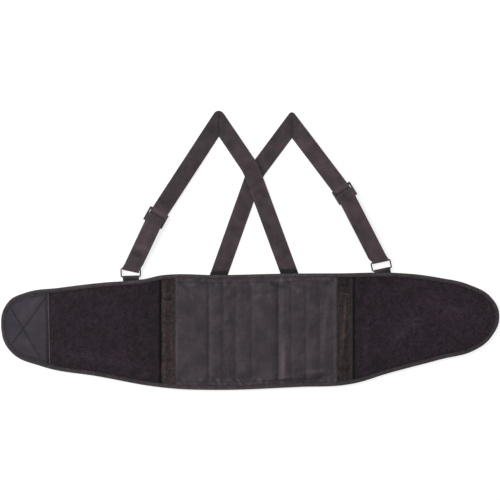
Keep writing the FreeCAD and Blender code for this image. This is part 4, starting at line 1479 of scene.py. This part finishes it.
def build_wing(side):
    """One side of the belt with its wing: outer fabric, foam, brushed inner face."""
    x0, x1 = zone_ends(side)
    outer = outer_fabric(f"{side}_outer_face", x0, x1)
    core = foam_core(f"{side}_foam_core", x0, x1)
    face = pile_face(side)
    for piece, layer in ((outer, "outer_fabric"), (core, "foam"), (face, "pile_fabric")):
        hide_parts(f"{side}_side_{layer}", f"{side}_wing_{layer}")
        wing_blend(piece)
    declare_face(x0, x1)
    declare_face(x0, x1)
    return face


def build_panel():
    """The stayed back panel."""
    x0, x1 = PANEL_ENDS
    outer = outer_fabric("panel_outer_face", x0, x1)
    core = foam_core("panel_foam_core", x0, x1)
    lining = belt_grid("stay_channel_backing", x0, x1, COVER_INSET, 6 * MM)
    points = coords(lining)
    points[:, 2] = 3.98 * MM
    set_coords(lining, points)
    thicken(lining, 0.5 * MM)
    smooth_shading(lining)
    dress(lining, "lining")
    face = panel_face()
    for piece, nodes in ((outer, "panel_outer_cover"), (core, "panel_foam"), (lining, "stay_channel_lining"),
                         (face, "panel_inner_cover")):
        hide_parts(nodes)
        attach(piece, "back_panel")
    declare_face(x0, x1)
    declare_face(x0, x1)
    declare_face(x0, x1)
    for number in range(1, 5):
        recolour(bpy.data.objects[f"stay_{number}"], "stay_plastic")
    return face


def build_bindings():
    """The four lengths of binding, and their stitches."""
    size = len(EDGE)
    left_x, right_x = -160 * MM, 190 * MM
    joins = [place_on_edge(left_x, False), place_on_edge(left_x, True),
             place_on_edge(right_x, True), place_on_edge(right_x, False)]
    for side, first, last in zip(("left", "top", "right", "bottom"), joins, joins[1:] + joins[:1]):
        name = f"{side}_binding"
        last += size * (last < first)
        tape = binding(name, first, last)
        steps = np.arange(first, last + 1, 2) % size
        row = inset(5.6 * MM)[steps]
        thread = stitches(f"{name}_stitches", [on_surface(tape, row[:, 0], row[:, 1], 0.08 * MM)],
                          DARK_THREAD, 3.8 * MM, 0.85, 0.4 * MM, 0.9 * MM)
        if side in ("left", "right"):
            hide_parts(f"{side}_wing_top_tape", f"{side}_wing_bottom_tape")
            wing_blend(tape)
            wing_blend(thread)
        else:
            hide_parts(f"{side}_edge_tape")
            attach(tape, "back_panel")
            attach(thread, "back_panel")


def column(face, x, distance, count, lift):
    """A row of points up a face at one X, this far inside the edge of its cover."""
    low, high = (float(v[0]) for v in span(inset(COVER_INSET), np.array([x])))
    return on_surface(face, np.full(count, x), np.linspace(high - distance, low + distance, count), lift)


def seam_rows(face):
    """The stitched seams of the stay channels and hems."""
    hem_width = 8.5 * MM
    rows = [column(face, x, 9 * MM, 70, 0.05 * MM) for x in CHANNEL_SEAMS]
    x = np.linspace(PANEL_ENDS[0] + 2 * MM, PANEL_ENDS[1] - 2 * MM, 110)
    low, high = span(inset(COVER_INSET), x)
    rows += [on_surface(face, x, y, 0.05 * MM) for y in (high - hem_width, low + hem_width)]
    thread = stitches("panel_stitches", rows, DARK_THREAD, 3.4 * MM)
    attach(thread, "back_panel")


def gusset_rows(faces):
    """Zigzag stitches that join each gusset to its neighbours."""
    rows = [column(faces[side], x, 2 * MM, 90, 0.1 * MM)
            for side, (x0, x1) in (("left", LEFT_GUSSET), ("right", RIGHT_GUSSET))
            for x in (x0 + 2.4 * MM, x1 - 2.4 * MM)]
    thread = stitches("gusset_zigzag", rows, PALE_THREAD, 2.6 * MM, 0.95, 0.26 * MM, 1.1 * MM)
    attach(thread, "back_panel")


def patch_rows(sheet):
    """The stitched cross and border of the hook patch."""
    rows = []
    for a, b in CROSS_ROWS:
        t = np.linspace(0.0, 1.0, 60)[:, None]
        line = a + t * (b - a)
        rows.append(on_surface(sheet, line[:, 0], line[:, 1], 0.06 * MM))
    border = inset(COVER_INSET + 3.5 * MM)
    border = border[border[:, 0] < HOOK_PATCH_END - 3 * MM]
    start = int(np.abs(np.diff(border[:, 0])).argmax()) + 1
    order = np.roll(border, -start, axis=0) if np.abs(np.diff(border[:, 1])).max() > 10 * MM else border
    rows.append(on_surface(sheet, order[:, 0], order[:, 1], 0.06 * MM))
    y = np.linspace(float(order[:, 1].max()), float(order[:, 1].min()), 60)
    rows.append(on_surface(sheet, np.full(len(y), HOOK_PATCH_END - 2.5 * MM), y, 0.06 * MM))
    thread = stitches("hook_patch_stitches", [r for r in rows if len(r) > 2], DARK_THREAD, 3.2 * MM)
    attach(thread, "left_wing")


faces = {side: build_wing(side) for side in ("left", "right")}
panel = build_panel()
gussets = {side: gusset(side) for side in ("left", "right")}
build_bindings()
seam_rows(panel)
gusset_rows(gussets)
patch = hook_patch()
patch_edge()
patch_rows(patch)
for side in ("left", "right"):
    strap_back(side)
    strap_front(side)
    strap_return(side)
    ring_tab(side)
    moulded_slider(side)
    recolour(bpy.data.objects[f"{side}_ring"], "ring_metal")

# ---- floor, light and camera ---------------------------------------------------------------------

bpy.ops.mesh.primitive_plane_add(size=40, location=(0, 0, -0.15 * MM))
floor = bpy.context.object
floor.name = "floor"
pale_floor, _, _ = new_material("pale_floor", 0.9, 0.0, 0.1)
for socket, value in (("Base Color", (0.5, 0.5, 0.5, 1)), ("Emission Color", (1, 1, 1, 1)),
                      ("Emission Strength", 0.6)):
    shader_inputs(pale_floor)[socket].default_value = value
floor.data.materials.append(pale_floor)

world = bpy.data.worlds.new("studio")
world.use_nodes = True
world.node_tree.nodes["Background"].inputs["Color"].default_value = (1, 1, 1, 1)
world.node_tree.nodes["Background"].inputs["Strength"].default_value = 0.42
bpy.context.scene.world = world


def softbox(name, place, size, power):
    """A square area light that looks at the belt."""
    light = bpy.data.lights.new(name, "AREA")
    light.shape, light.size, light.energy = "SQUARE", size, power
    lamp = bpy.data.objects.new(name, light)
    bpy.context.collection.objects.link(lamp)
    lamp.location = place
    lamp.rotation_euler = (Vector((0, 0, 0)) - Vector(place)).to_track_quat("-Z", "Y").to_euler()


softbox("window", (-2.2, 1.0, 1.4), 1.0, 66)
softbox("overhead", (0.9, 0.3, 2.3), 1.6, 17)

CAMERA_HEIGHT = 2.4
camera_data = bpy.data.cameras.new("camera")
camera_data.sensor_width = 36
camera_data.lens = 36 * CAMERA_HEIGHT / 1.0
camera = bpy.data.objects.new("camera", camera_data)
camera.location = (0, 0, CAMERA_HEIGHT)
bpy.context.collection.objects.link(camera)
bpy.context.scene.camera = camera
bpy.context.scene.view_settings.view_transform = "Standard"
